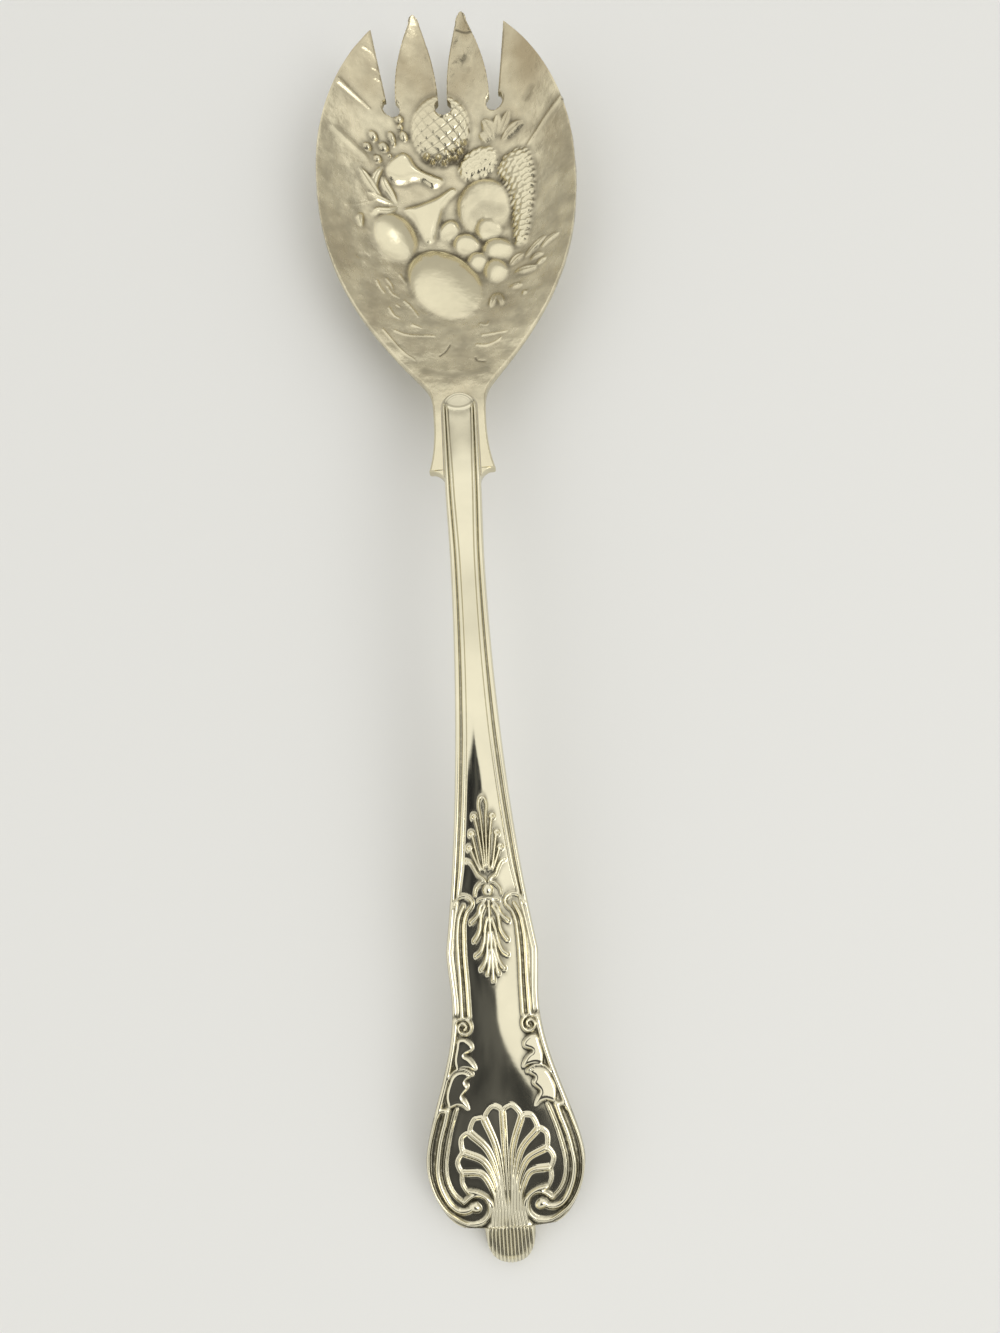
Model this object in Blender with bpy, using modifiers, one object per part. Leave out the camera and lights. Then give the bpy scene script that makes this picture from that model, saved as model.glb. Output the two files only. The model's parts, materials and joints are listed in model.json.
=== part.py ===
"""Berry fork: an embossed four-tined bowl, soldered by a lap joint to a reeded, shell-ended handle.

The fork lies on the ground plane with its hollow side up, the tines towards +Y and +X to the right.
Sizes are in millimetres. Stations along the handle count from its tip, and stations along the bowl
count from its neck.
"""
import math

import bmesh
import bpy
from mathutils import Matrix

MM = 0.001
OBJECT_NAME = "berry_fork"

# Lengths along the fork
HANDLE_LENGTH = 121.0     # tip of the handle to the butt under the shoulders
SHANK_LENGTH = 19.0       # butt to the bowl's neck
BOWL_LENGTH = 84.3        # neck to the tips of the middle tines
CREST_BACK = 17.0         # butt back to the top of the handle's arch

# Handle outline
TAB_LENGTH = 5.6
TAB_WIDTH = 7.6
TAB_SHOULDER_WIDTH = 12.0
END_AT = 15.2
END_WIDTH = 24.0
WAIST_AT = 38.4
WAIST_WIDTH = 13.1
SCROLL_AT = 46.0
SCROLL_WIDTH = 13.9
STEM_BACK = 15.0          # butt back to where the stem is narrowest
STEM_WIDTH = 5.5
TAB_POWER = 2.5           # fullness of the tab's round end
END_POWER = 1.6           # fullness of the shell end, from the tab to where it is widest
WAIST_POWER = 0.85        # how soon the end narrows to the waist
STEM_POWER = 0.52         # how soon the scroll narrows to the stem

# Handle section
END_THICKNESS = 2.9
FRONT_CROWN = 0.45
BACK_CROWN = 0.5
TONGUE_WIDTH = 6.0
TONGUE_THICKNESS = 1.3
TONGUE_SETBACK = 0.8      # neck back to the tongue's round nose
ARCH_POWER = 1.7          # fullness of the handle's arch

# Bowl and shank
SHEET = 1.5
RIM_HEIGHT = 10.2         # outer edge of the rim above the ground at its lowest
BOWL_WIDTH = 49.2
WIDEST_AT = 51.0
HEEL_LENGTH = 56.0        # widest station back to where the heel curve would close
HEEL_POWER = 1.25
NOSE_OVERHANG = 1.5       # the nose curve closes this far past the middle tines
BELLY_AT = 46.0
DEPTH_START = 3.0
HEEL_DEPTH_POWER = 1.6
NOSE_DEPTH_POWER = 0.9
NOSE_RISE = 1.4
NECK_RISE = 1.7           # neck's underside above the outer rim edge
NECK_WIDTH = 9.0
NECK_FILLET = 1.4
SHOULDER_WIDTH = 11.1
SHOULDER_DROP = 2.5
SHANK_TAPER = 10.0        # shoulder corners to where the shank reaches the neck's width
SHANK_FLARE = 2.4         # how soon the shank narrows from its corners
SHANK_SLOPE = 0.2

# Tines
SLOT_PITCH = 10.3
SLOT_WIDTH = 1.8
SLOT_LENGTH = 16.0        # tips of the middle tines back to the root holes' centres
ROOT_RADIUS = 1.7
MID_TIP_OFFSET = 4.65
MID_TIP_RADIUS = 1.1
MID_TINE_POWER = 2.1
OUTER_TINE_LEAN = 0.17    # sideways run of an outer tine's inner edge per length

# Joint and rest
FIT_GAP = 0.3
FILM = 0.2
FILM_INSET = 0.5
REST_CUT = 0.6            # flat ground under the handle's tip
BELLY_CUT = 0.3           # flat worn under the bowl's belly

# Relief on the handle
THREAD_RADIUS = 0.5
THREAD_INSET = 0.62
INNER_THREAD_RADIUS = 0.3
INNER_THREAD_INSET = 1.45
INNER_THREAD_START = 58.0
SCROLL_RAIL_RADIUS = 0.75
SCROLL_RAIL_INSET = 2.1
SHELL_LOBES = 10
SHELL_BASE_AT = 6.2
SHELL_HUB = 2.8           # the lobes start this far from the point they fan out from
SHELL_LENGTH = 13.6       # the middle lobes, beyond the hub
SHELL_SIDE_LENGTH = 5.6   # the outermost lobes, beyond the hub
SHELL_SPREAD = 1.5        # radians, first lobe to last
SHELL_OVERLAP = 1.24      # a lobe's width as a share of the lobes' spacing
RELIEF = 0.7

# Fruit in the bowl: offset from the axis, station, half width, half length, turn in degrees, height
FRUIT = {
    "pineapple": (-1.2, 64.0, 5.7, 6.6, 0, 1.7),
    "pear_body": (-8.9, 56.6, 3.2, 3.5, 20, 1.6),
    "pear_neck": (-4.6, 55.3, 4.6, 1.7, -15, 1.1),
    "plum": (-10.8, 40.2, 4.2, 5.2, 0, 1.6),
    "melon": (-1.6, 28.4, 7.0, 8.6, 25, 2.0),
    "apple": (7.0, 47.2, 5.2, 5.8, 0, 1.7),
    "raspberry": (6.6, 56.8, 3.5, 3.1, 0, 1.5),
    "mulberry": (13.4, 46.0, 2.6, 10.2, 2, 1.4),
    "long_pear_body": (-4.4, 42.4, 2.6, 3.0, 0, 1.4),
    "long_pear_neck": (-0.9, 47.4, 1.5, 4.8, -36, 1.0),
}
GRAPES = ((0.2, 42.8), (3.2, 38.9), (7.9, 41.1), (9.4, 36.4), (5.5, 34.1), (8.5, 29.7))
GRAPE_RADIUS = 2.1
GRAPE_HEIGHT = 1.2
FRUIT_SUNK = 0.6          # share of the sheet that a fruit's foot reaches into

# Handle bosses: offset from the axis, station, half width, half length, turn in degrees
TIP_VOLUTE = (4.75, 7.9, 2.0, 2.0, 0)
WAIST_VOLUTE = (5.0, 34.8, 1.4, 1.4, 0)
TOP_VOLUTE = (3.9, 53.3, 1.2, 1.4, 0)
VOLUTES = (TIP_VOLUTE, WAIST_VOLUTE, TOP_VOLUTE)
ACANTHUS = ((3.6, 30.8, 1.2, 1.9, 25), (3.9, 27.6, 1.2, 1.9, 35), (5.3, 24.9, 1.2, 1.9, 35))
FLOWER_SIDES = ((1.25, 65.0, 0.6, 1.9, -12), (1.7, 62.4, 0.65, 2.2, -18), (2.2, 60.0, 0.7, 2.2, -28),
                (2.0, 49.6, 0.65, 1.9, 35), (2.1, 47.0, 0.65, 2.0, 30), (1.9, 44.8, 0.65, 1.9, 20))
FLOWER_AXIS = ((0.0, 66.6, 0.7, 2.0, 0), (0.0, 62.3, 0.75, 3.4, 0), (0.0, 54.8, 0.75, 0.75, 0),
               (0.0, 47.6, 0.8, 5.0, 0))

NECK_AT = HANDLE_LENGTH + SHANK_LENGTH
OVERALL_LENGTH = NECK_AT + BOWL_LENGTH
SLOPE_LENGTH = math.hypot(1.0, SHANK_SLOPE)
LAP_STACK = SHEET + 2 * FIT_GAP + FILM
CREST_AT = HANDLE_LENGTH - CREST_BACK
STEM_AT = HANDLE_LENGTH - STEM_BACK
TONGUE_END = NECK_AT - TONGUE_SETBACK
NOSE_LENGTH = BOWL_LENGTH + NOSE_OVERHANG - WIDEST_AT
FACET_SPIN = 0.13         # radians
BLUNT = 0.05              # least share of a round end's full width, so that it closes on a small flat


def ease(t):
    """Blend from 0 to 1 that starts and ends level."""
    t = min(max(t, 0.0), 1.0)
    return t * t * (3.0 - 2.0 * t)


def mix(a, b, t):
    return a + (b - a) * t


def smooth_max(a, b, radius):
    """The larger of two values, with the corner between them rounded."""
    d = b - a
    return a + 0.5 * (d + math.hypot(d, radius))


def spread(start, stop, count):
    """Even stations from start up to, and without, stop."""
    return [mix(start, stop, i / count) for i in range(count)]


def to_row(x, s, z):
    """Millimetres from the handle's tip to metres in the fork's own frame."""
    return (x * MM, (s - OVERALL_LENGTH / 2) * MM, z * MM)


# Side profile

def shank_underside(s):
    return RIM_HEIGHT + NECK_RISE + SHANK_SLOPE * (NECK_AT - s)


def tongue_underside(s):
    return shank_underside(s) + LAP_STACK * SLOPE_LENGTH


def tongue_front(s):
    return tongue_underside(s) + TONGUE_THICKNESS * SLOPE_LENGTH


def front_line(s):
    """Height of the handle's front along its middle."""
    bend = SHANK_SLOPE / (2 * CREST_BACK)
    crest = tongue_front(HANDLE_LENGTH) + bend * CREST_BACK ** 2
    if s < CREST_AT:
        tip = END_THICKNESS - REST_CUT
        return crest - (crest - tip) * ((CREST_AT - s) / CREST_AT) ** ARCH_POWER
    if s < HANDLE_LENGTH:
        return crest - bend * (s - CREST_AT) ** 2
    return tongue_front(s)


def handle_thickness(s):
    full = (LAP_STACK + TONGUE_THICKNESS) * SLOPE_LENGTH
    return mix(END_THICKNESS, full, ease(s / HANDLE_LENGTH))


# Handle

def handle_half_width(s):
    """Half the handle's width: fluted tab, shell end, waist, scroll, stem and tongue."""
    if s <= TAB_LENGTH:
        reach = (TAB_LENGTH - s) / TAB_LENGTH
        return TAB_WIDTH / 2 * math.sqrt(max(1.0 - reach ** TAB_POWER, BLUNT))
    if s <= END_AT:
        reach = (END_AT - s) / (END_AT - TAB_LENGTH)
        return mix(TAB_SHOULDER_WIDTH / 2, END_WIDTH / 2, math.sqrt(1.0 - reach ** END_POWER))
    if s <= WAIST_AT:
        t = (s - END_AT) / (WAIST_AT - END_AT)
        return mix(END_WIDTH / 2, WAIST_WIDTH / 2, ease(t ** WAIST_POWER))
    if s <= SCROLL_AT:
        return mix(WAIST_WIDTH / 2, SCROLL_WIDTH / 2, ease((s - WAIST_AT) / (SCROLL_AT - WAIST_AT)))
    if s <= STEM_AT:
        t = (s - SCROLL_AT) / (STEM_AT - SCROLL_AT)
        return mix(SCROLL_WIDTH / 2, STEM_WIDTH / 2, ease(t ** STEM_POWER))
    widened = ease((s - STEM_AT) / (HANDLE_LENGTH - STEM_AT))
    half = mix(STEM_WIDTH / 2, TONGUE_WIDTH / 2, widened)
    nose = TONGUE_END - TONGUE_WIDTH / 2
    if s > nose:
        reach = (s - nose) / (TONGUE_END - nose)
        half *= math.sqrt(max(1.0 - reach ** 2, BLUNT))
    return half


def handle_front(x, s):
    return front_line(s) - FRONT_CROWN * min(abs(x) / handle_half_width(s), 1.0) ** 2


def handle_back(x, s):
    return front_line(s) - handle_thickness(s) + BACK_CROWN * (x / handle_half_width(s)) ** 2


def handle_stations():
    nose = TONGUE_END - TONGUE_WIDTH / 2
    steps = 6
    tab = [TAB_LENGTH * (1.0 - math.cos(math.pi / 2 * i / steps)) for i in range(steps + 1)]
    turn = [mix(END_AT, TAB_LENGTH, math.cos(math.pi / 2 * i / steps)) for i in range(0, steps)]
    turn[0] += BLUNT
    body = spread(END_AT, WAIST_AT, 12) + spread(WAIST_AT, SCROLL_AT, 4) + spread(SCROLL_AT, STEM_AT, 18)
    stem = spread(STEM_AT, HANDLE_LENGTH, 5) + spread(HANDLE_LENGTH, nose, 4)
    arch = [mix(nose, TONGUE_END, math.sin(math.pi / 2 * i / steps)) for i in range(steps + 1)]
    return tab + turn + body + stem + arch


def handle_ring(s):
    """One closed section across the handle: along the front, then back along the rear."""
    columns = 9
    half = handle_half_width(s)
    across = [half * (2 * i / columns - 1.0) for i in range(columns + 1)]
    front = [to_row(x, s, handle_front(x, s)) for x in across]
    back = [to_row(x, s, handle_back(x, s)) for x in reversed(across)]
    return front + back


# Bowl

def bowl_half_width(s):
    """Half the outline's width from the butt, over the shoulders and neck, to the nose."""
    if s < HANDLE_LENGTH + SHOULDER_DROP:
        reach = min(max((s - HANDLE_LENGTH) / SHOULDER_DROP, 0.0), 1.0)
        return mix(TONGUE_WIDTH / 2, SHOULDER_WIDTH / 2, 1.0 - math.sqrt(1.0 - reach ** 2))
    back = NECK_AT + WIDEST_AT - s
    if back < 0.0:
        return BOWL_WIDTH / 2 * math.sqrt(1.0 - (back / NOSE_LENGTH) ** 2)
    heel = BOWL_WIDTH / 2 * math.cos(math.pi / 2 * min(back / HEEL_LENGTH, 1.0) ** HEEL_POWER)
    narrowed = min((s - HANDLE_LENGTH - SHOULDER_DROP) / SHANK_TAPER, 1.0)
    shank = mix(SHOULDER_WIDTH, NECK_WIDTH, 1.0 - (1.0 - narrowed) ** SHANK_FLARE) / 2
    along_neck = 1.0 - (NECK_AT - s) / (SHANK_LENGTH / 2)
    return smooth_max(shank, heel, NECK_FILLET * ease(along_neck))


def rim_line(s):
    """Height of the outer edge of the rim, and of the shank's underside."""
    if s <= NECK_AT:
        return shank_underside(s)
    t = (s - NECK_AT) / WIDEST_AT
    if t < 1.0:
        fall = (t ** 3 - 2 * t ** 2 + t) * WIDEST_AT * SHANK_SLOPE
        return RIM_HEIGHT + NECK_RISE * (1.0 - ease(t)) - fall
    return RIM_HEIGHT + NOSE_RISE * ((s - NECK_AT - WIDEST_AT) / NOSE_LENGTH) ** 2


def bowl_depth(s):
    """Depth of the outer surface below the rim line, along the middle."""
    full = RIM_HEIGHT + BELLY_CUT
    t = (s - NECK_AT - DEPTH_START) / (BELLY_AT - DEPTH_START)
    if t < 1.0:
        return full * math.sin(math.pi / 2 * max(t, 0.0)) ** HEEL_DEPTH_POWER
    past = (s - NECK_AT - BELLY_AT) / (BOWL_LENGTH + 4 * NOSE_OVERHANG - BELLY_AT)
    return full * math.cos(math.pi / 2 * past) ** NOSE_DEPTH_POWER


def bowl_outer(x, s):
    u = min(abs(x) / bowl_half_width(s), 1.0)
    return rim_line(s) - bowl_depth(s) * (1.0 - u * u)


def bowl_inner(x, s):
    return bowl_outer(x, s) + SHEET * math.hypot(1.0, bowl_slope(x, s))


def bowl_slope(x, s):
    step = 0.1
    across = (bowl_outer(x + step, s) - bowl_outer(x - step, s)) / (2 * step)
    along = (bowl_outer(x, s + step) - bowl_outer(x, s - step)) / (2 * step)
    return math.hypot(across, along)


def bowl_stations():
    """Stations from the butt face, which stands a gap away from the handle, to past the tines."""
    butt = HANDLE_LENGTH + (FIT_GAP - LAP_STACK * SHANK_SLOPE) / SLOPE_LENGTH
    corner = HANDLE_LENGTH + SHOULDER_DROP
    shoulder = [mix(butt, corner, math.sin(math.pi / 2 * i / 5)) for i in range(5)]
    shank = spread(corner, NECK_AT - 4.0, 7) + spread(NECK_AT - 4.0, NECK_AT + 10.0, 9)
    heel = spread(NECK_AT + 10.0, NECK_AT + WIDEST_AT, 13)
    last = BOWL_LENGTH + NOSE_OVERHANG / 2 - WIDEST_AT
    nose = [NECK_AT + WIDEST_AT + last * math.sin(math.pi / 2 * i / 14) for i in range(15)]
    return shoulder + shank + heel + nose


# Making meshes

def make_material(name, colour, roughness):
    material = bpy.data.materials.new(name)
    material.use_nodes = True
    shader = material.node_tree.nodes["Principled BSDF"]
    shader.inputs["Base Color"].default_value = (*colour, 1.0)
    shader.inputs["Metallic"].default_value = 1.0
    shader.inputs["Roughness"].default_value = roughness
    return material


def make_collection(name):
    collection = bpy.data.collections.new(name)
    bpy.context.scene.collection.children.link(collection)
    return collection


def finish_mesh(name, bm, collection):
    bmesh.ops.recalc_face_normals(bm, faces=bm.faces)
    mesh = bpy.data.meshes.new(name)
    bm.to_mesh(mesh)
    bm.free()
    obj = bpy.data.objects.new(name, mesh)
    collection.objects.link(obj)
    return obj


def hide_tool(obj):
    obj.hide_render = True
    obj.display_type = "WIRE"


def boolean(target, tool, operation):
    """Join or cut one closed shape with another. This solver stays exact where many bosses cross."""
    hide_tool(tool)
    modifier = target.modifiers.new(tool.name, "BOOLEAN")
    modifier.solver = "MANIFOLD"
    modifier.operation = operation
    modifier.object = tool


def curve_to_mesh(curve, collection):
    """Replace a curve object by a closed mesh of the same name and place."""
    graph = bpy.context.evaluated_depsgraph_get()
    mesh = bpy.data.meshes.new_from_object(curve.evaluated_get(graph))
    bm = bmesh.new()
    bm.from_mesh(mesh)
    bmesh.ops.remove_doubles(bm, verts=bm.verts, dist=0.001 * MM)
    name, matrix = curve.name, curve.matrix_world.copy()
    bpy.data.objects.remove(curve)
    bpy.data.meshes.remove(mesh)
    obj = finish_mesh(name, bm, collection)
    obj.matrix_world = matrix
    return obj


def flat_plate(name, outline, thickness, matrix, collection):
    """A flat outline with a thickness, centred on its own plane."""
    data = bpy.data.curves.new(name, "CURVE")
    data.dimensions = "2D"
    data.fill_mode = "BOTH"
    data.extrude = thickness * MM / 2
    spline = data.splines.new("POLY")
    spline.points.add(len(outline) - 1)
    for point, (x, y) in zip(spline.points, outline):
        point.co = (x * MM, y * MM, 0.0, 1.0)
    spline.use_cyclic_u = True
    curve = bpy.data.objects.new(name, data)
    curve.matrix_world = matrix
    collection.objects.link(curve)
    bpy.context.view_layer.update()
    return curve_to_mesh(curve, collection)


def add_rail(target, name, path, radius, surface, collection):
    """Join a round rail to a target, half sunk in its surface, along a path of (offset, station) points."""
    data = bpy.data.curves.new(name, "CURVE")
    data.dimensions = "3D"
    data.bevel_depth = radius * MM
    data.bevel_resolution = 1
    data.use_fill_caps = True
    spline = data.splines.new("POLY")
    spline.points.add(len(path) - 1)
    for point, (x, s) in zip(spline.points, path):
        point.co = (*to_row(x, s, surface(x, s)), 1.0)
    curve = bpy.data.objects.new(name, data)
    collection.objects.link(curve)
    bpy.context.view_layer.update()
    boolean(target, curve_to_mesh(curve, collection), "UNION")


def add_bosses(target, name, forms, surface, sunk, collection, segments, rings):
    """Join rounded bosses to a target. A form is offset, station, half width, half length, turn, height.

    The facets of each boss are spun a little against those of the last, so that no two share an edge.
    """
    step = 0.2
    for number, (x, s, half_width, half_length, turn, height) in enumerate(forms):
        across = (surface(x + step, s) - surface(x - step, s)) / (2 * step)
        along = (surface(x, s + step) - surface(x, s - step)) / (2 * step)
        tilt = Matrix(((1, 0, 0, 0), (0, 1, 0, 0), (across, along, 1, 0), (0, 0, 0, 1)))
        half_height = (height + sunk) / 2
        centre = surface(x, s) + height - half_height
        size = Matrix.Diagonal((half_width * MM, half_length * MM, half_height * MM, 1.0))
        place = Matrix.Translation(to_row(x, s, centre))
        spin = Matrix.Rotation(FACET_SPIN * number, 4, "Z")
        matrix = place @ tilt @ Matrix.Rotation(math.radians(turn), 4, "Z") @ size @ spin
        bm = bmesh.new()
        bmesh.ops.create_uvsphere(bm, u_segments=segments, v_segments=rings, radius=1.0, matrix=matrix)
        boolean(target, finish_mesh(f"{name}_{number}", bm, collection), "UNION")


def both_sides(forms):
    """The same forms on the right and, mirrored, on the left."""
    return [form for x, s, w, l, turn in forms for form in ((x, s, w, l, turn), (-x, s, w, l, -turn))]


def raised(forms, height):
    return [(*form, height) for form in forms]


# Sub-parts

def lap_matrix(depth):
    """Frame on the tongue's underside at the butt, along the slope, a depth below that face."""
    angle = -math.atan(SHANK_SLOPE)
    place = Matrix.Translation(to_row(0.0, HANDLE_LENGTH, tongue_underside(HANDLE_LENGTH)))
    drop = Matrix.Translation((0.0, 0.0, -depth * MM))
    return place @ Matrix.Rotation(angle, 4, "X") @ drop


def make_ground(collection):
    """Everything below the surface that the fork lies on."""
    bm = bmesh.new()
    depth = 2 * RIM_HEIGHT
    size = Matrix.Diagonal((2 * BOWL_WIDTH * MM, 2 * OVERALL_LENGTH * MM, depth * MM, 1.0))
    bmesh.ops.create_cube(bm, size=1.0, matrix=Matrix.Translation((0.0, 0.0, -depth * MM / 2)) @ size)
    return finish_mesh("ground", bm, collection)


def tine_outline():
    """Outline of all that is cut away between and beyond the tines, right half then left half."""
    root = NECK_AT + BOWL_LENGTH - SLOT_LENGTH
    throat_angle = math.acos(SLOT_WIDTH / 2 / ROOT_RADIUS)
    throat = root + ROOT_RADIUS * math.sin(throat_angle)
    tip = NECK_AT + BOWL_LENGTH - MID_TIP_RADIUS
    beyond = NECK_AT + BOWL_LENGTH + 8 * NOSE_OVERHANG

    def arc(centre_x, centre_s, radius, start, stop, count):
        turns = [mix(start, stop, i / count) for i in range(count + 1)]
        return [(centre_x + radius * math.cos(a), centre_s + radius * math.sin(a)) for a in turns]

    def edge(start_x, stop_x):
        """Curved flank of a middle tine, from the throat to the start of its round tip."""
        steps = [i / 6 for i in range(1, 6)]
        return [(mix(start_x, stop_x, t ** MID_TINE_POWER), mix(throat, tip, t)) for t in steps]

    inner = edge(SLOT_WIDTH / 2, MID_TIP_OFFSET - MID_TIP_RADIUS)
    outer = edge(SLOT_PITCH - SLOT_WIDTH / 2, MID_TIP_OFFSET + MID_TIP_RADIUS)
    right = arc(0.0, root, ROOT_RADIUS, -math.pi / 2, throat_angle, 6)
    right += inner + arc(MID_TIP_OFFSET, tip, MID_TIP_RADIUS, math.pi, 0.0, 6) + outer[::-1]
    right += arc(SLOT_PITCH, root, ROOT_RADIUS, math.pi - throat_angle, 2 * math.pi + throat_angle, 12)
    right.append((SLOT_PITCH + SLOT_WIDTH / 2 + OUTER_TINE_LEAN * (beyond - throat), beyond))
    left = [(-x, s) for x, s in right[:0:-1]]
    return right + left


def make_bowl(parts, tools, ground):
    columns = 18
    stations = bowl_stations()
    bm = bmesh.new()
    bmesh.ops.create_grid(bm, x_segments=columns, y_segments=len(stations) - 1, size=0.5)
    for vertex in bm.verts:
        u = math.sin(math.pi * vertex.co.x)
        s = stations[round((vertex.co.y + 0.5) * (len(stations) - 1))]
        x = u * bowl_half_width(s)
        vertex.co = to_row(x, s, bowl_outer(x, s))
    bowl = finish_mesh("bowl", bm, parts)
    if bowl.data.polygons[0].normal.z < 0.0:
        bowl.data.flip_normals()
    shell = bowl.modifiers.new("sheet", "SOLIDIFY")
    shell.thickness = SHEET * MM
    shell.offset = 1.0
    shell.use_even_offset = True

    fruit = [(x, NECK_AT + s, w, l, turn, h) for x, s, w, l, turn, h in FRUIT.values()]
    fruit += [(x, NECK_AT + s, GRAPE_RADIUS, GRAPE_RADIUS, 0, GRAPE_HEIGHT) for x, s in GRAPES]
    sunk = FRUIT_SUNK * SHEET
    add_bosses(bowl, "fruit", fruit, bowl_inner, sunk, tools, 16, 8)

    place = Matrix.Translation(to_row(0.0, 0.0, RIM_HEIGHT))
    cutter = flat_plate("tine_cutter", tine_outline(), 6 * RIM_HEIGHT, place, tools)
    boolean(bowl, cutter, "DIFFERENCE")
    boolean(bowl, ground, "DIFFERENCE")
    bowl.data.materials.append(make_material("bowl_silver", (0.70, 0.66, 0.56), 0.36))
    return bowl


def handle_mesh(parts):
    bm = bmesh.new()
    rings = [[bm.verts.new(point) for point in handle_ring(s)] for s in handle_stations()]
    count = len(rings[0])
    for a, b in zip(rings, rings[1:]):
        for i in range(count):
            j = (i + 1) % count
            bm.faces.new((a[i], a[j], b[j], b[i]))
    bm.faces.new(rings[0])
    bm.faces.new(rings[-1])
    return finish_mesh("handle", bm, parts)


def thread_path(inset, start):
    """From a station up one side, round the tongue's nose and down the other side."""
    nose = TONGUE_END - TONGUE_WIDTH / 2
    stations = spread(start, STEM_AT, 16) + spread(STEM_AT, nose, 7)
    side = [(handle_half_width(s) - inset, s) for s in stations]
    radius = TONGUE_WIDTH / 2 - inset
    turns = [math.pi * i / 8 for i in range(9)]
    arch = [(radius * math.cos(a), nose + radius * math.sin(a)) for a in turns]
    return side + arch + [(-x, s) for x, s in side[::-1]]


def scroll_paths():
    """Rails inside the outline on both sides, from volute to volute: round the shell, then up the scroll."""
    paths = []
    for start, stop, count in ((TIP_VOLUTE, WAIST_VOLUTE, 14), (WAIST_VOLUTE, TOP_VOLUTE, 8)):
        stations = spread(start[1], stop[1], count)[1:]
        inside = [(handle_half_width(s) - SCROLL_RAIL_INSET, s) for s in stations]
        side = [start[:2]] + inside + [stop[:2]]
        paths += [side, [(-x, s) for x, s in side]]
    return paths


def shell_forms():
    """Lobes of the shell, fanned out from the middle of its base."""
    forms = []
    for i in range(SHELL_LOBES):
        turn = SHELL_SPREAD * (i / (SHELL_LOBES - 1) - 0.5)
        length = mix(SHELL_LENGTH, SHELL_SIDE_LENGTH, (2 * turn / SHELL_SPREAD) ** 2)
        middle = SHELL_HUB + length / 2
        x = middle * math.sin(turn)
        s = SHELL_BASE_AT + middle * math.cos(turn)
        half_width = SHELL_OVERLAP * middle * SHELL_SPREAD / (SHELL_LOBES - 1) / 2
        forms.append((x, s, half_width, length / 2, -math.degrees(turn)))
    return forms


def make_handle(parts, tools, ground):
    handle = handle_mesh(parts)
    outer_path = thread_path(THREAD_INSET, WAIST_AT)
    inner_path = thread_path(INNER_THREAD_INSET, INNER_THREAD_START)
    add_rail(handle, "outer_thread", outer_path, THREAD_RADIUS, handle_front, tools)
    add_rail(handle, "inner_thread", inner_path, INNER_THREAD_RADIUS, handle_front, tools)
    for number, path in enumerate(scroll_paths()):
        add_rail(handle, f"scroll_{number}", path, SCROLL_RAIL_RADIUS, handle_front, tools)
    ornament = both_sides(VOLUTES + ACANTHUS + FLOWER_SIDES) + list(FLOWER_AXIS)
    add_bosses(handle, "ornament", raised(ornament, RELIEF), handle_front, RELIEF, tools, 8, 4)
    add_bosses(handle, "shell", raised(shell_forms(), RELIEF), handle_front, RELIEF, tools, 10, 6)

    bm = bmesh.new()
    length, width, depth = 2 * SHANK_LENGTH, 2 * SHOULDER_WIDTH, 4 * LAP_STACK
    size = Matrix.Diagonal((width * MM, length * MM, depth * MM, 1.0))
    centre = Matrix.Translation((0.0, length / 2 * MM, -depth / 2 * MM))
    bmesh.ops.create_cube(bm, size=1.0, matrix=lap_matrix(0.0) @ centre @ size)
    boolean(handle, finish_mesh("lap_cutter", bm, tools), "DIFFERENCE")
    boolean(handle, ground, "DIFFERENCE")
    handle.data.materials.append(make_material("handle_silver", (0.86, 0.84, 0.78), 0.18))
    return handle


def make_solder_film(parts):
    """Film of solder in the lap, inside the outline of the tongue."""
    half = TONGUE_WIDTH / 2 - FILM_INSET
    straight = (TONGUE_END - HANDLE_LENGTH) * SLOPE_LENGTH - TONGUE_WIDTH / 2
    nose = [math.pi * i / 12 for i in range(13)]
    outline = [(half * math.cos(a), straight + half * math.sin(a)) for a in nose]
    outline += [(-half, FILM_INSET), (half, FILM_INSET)]
    film = flat_plate("solder_film", outline, FILM, lap_matrix(FIT_GAP + FILM / 2), parts)
    film.data.materials.append(make_material("solder", (0.74, 0.73, 0.69), 0.4))
    return film


def main():
    for old in list(bpy.data.objects):
        bpy.data.objects.remove(old)
    parts = make_collection(OBJECT_NAME)
    tools = make_collection("cutters")
    ground = make_ground(tools)
    hide_tool(ground)
    for part in (make_bowl(parts, tools, ground), make_handle(parts, tools, ground), make_solder_film(parts)):
        part.data.shade_smooth()
        part.data.set_sharp_from_angle(angle=math.radians(40))


main()
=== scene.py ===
"""Berry fork with an embossed fruit bowl and a reeded, shell-ended handle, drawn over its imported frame.

Shapes are worked out in millimetres: x across the fork, s along it from the handle's tip, z above the
surface that it lies on. Relief is a height over an (x, s) grid, built up from ridges, domes and leaves.
"""

import json
import math

import bpy
import numpy as np
from mathutils import Matrix, Vector

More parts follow.
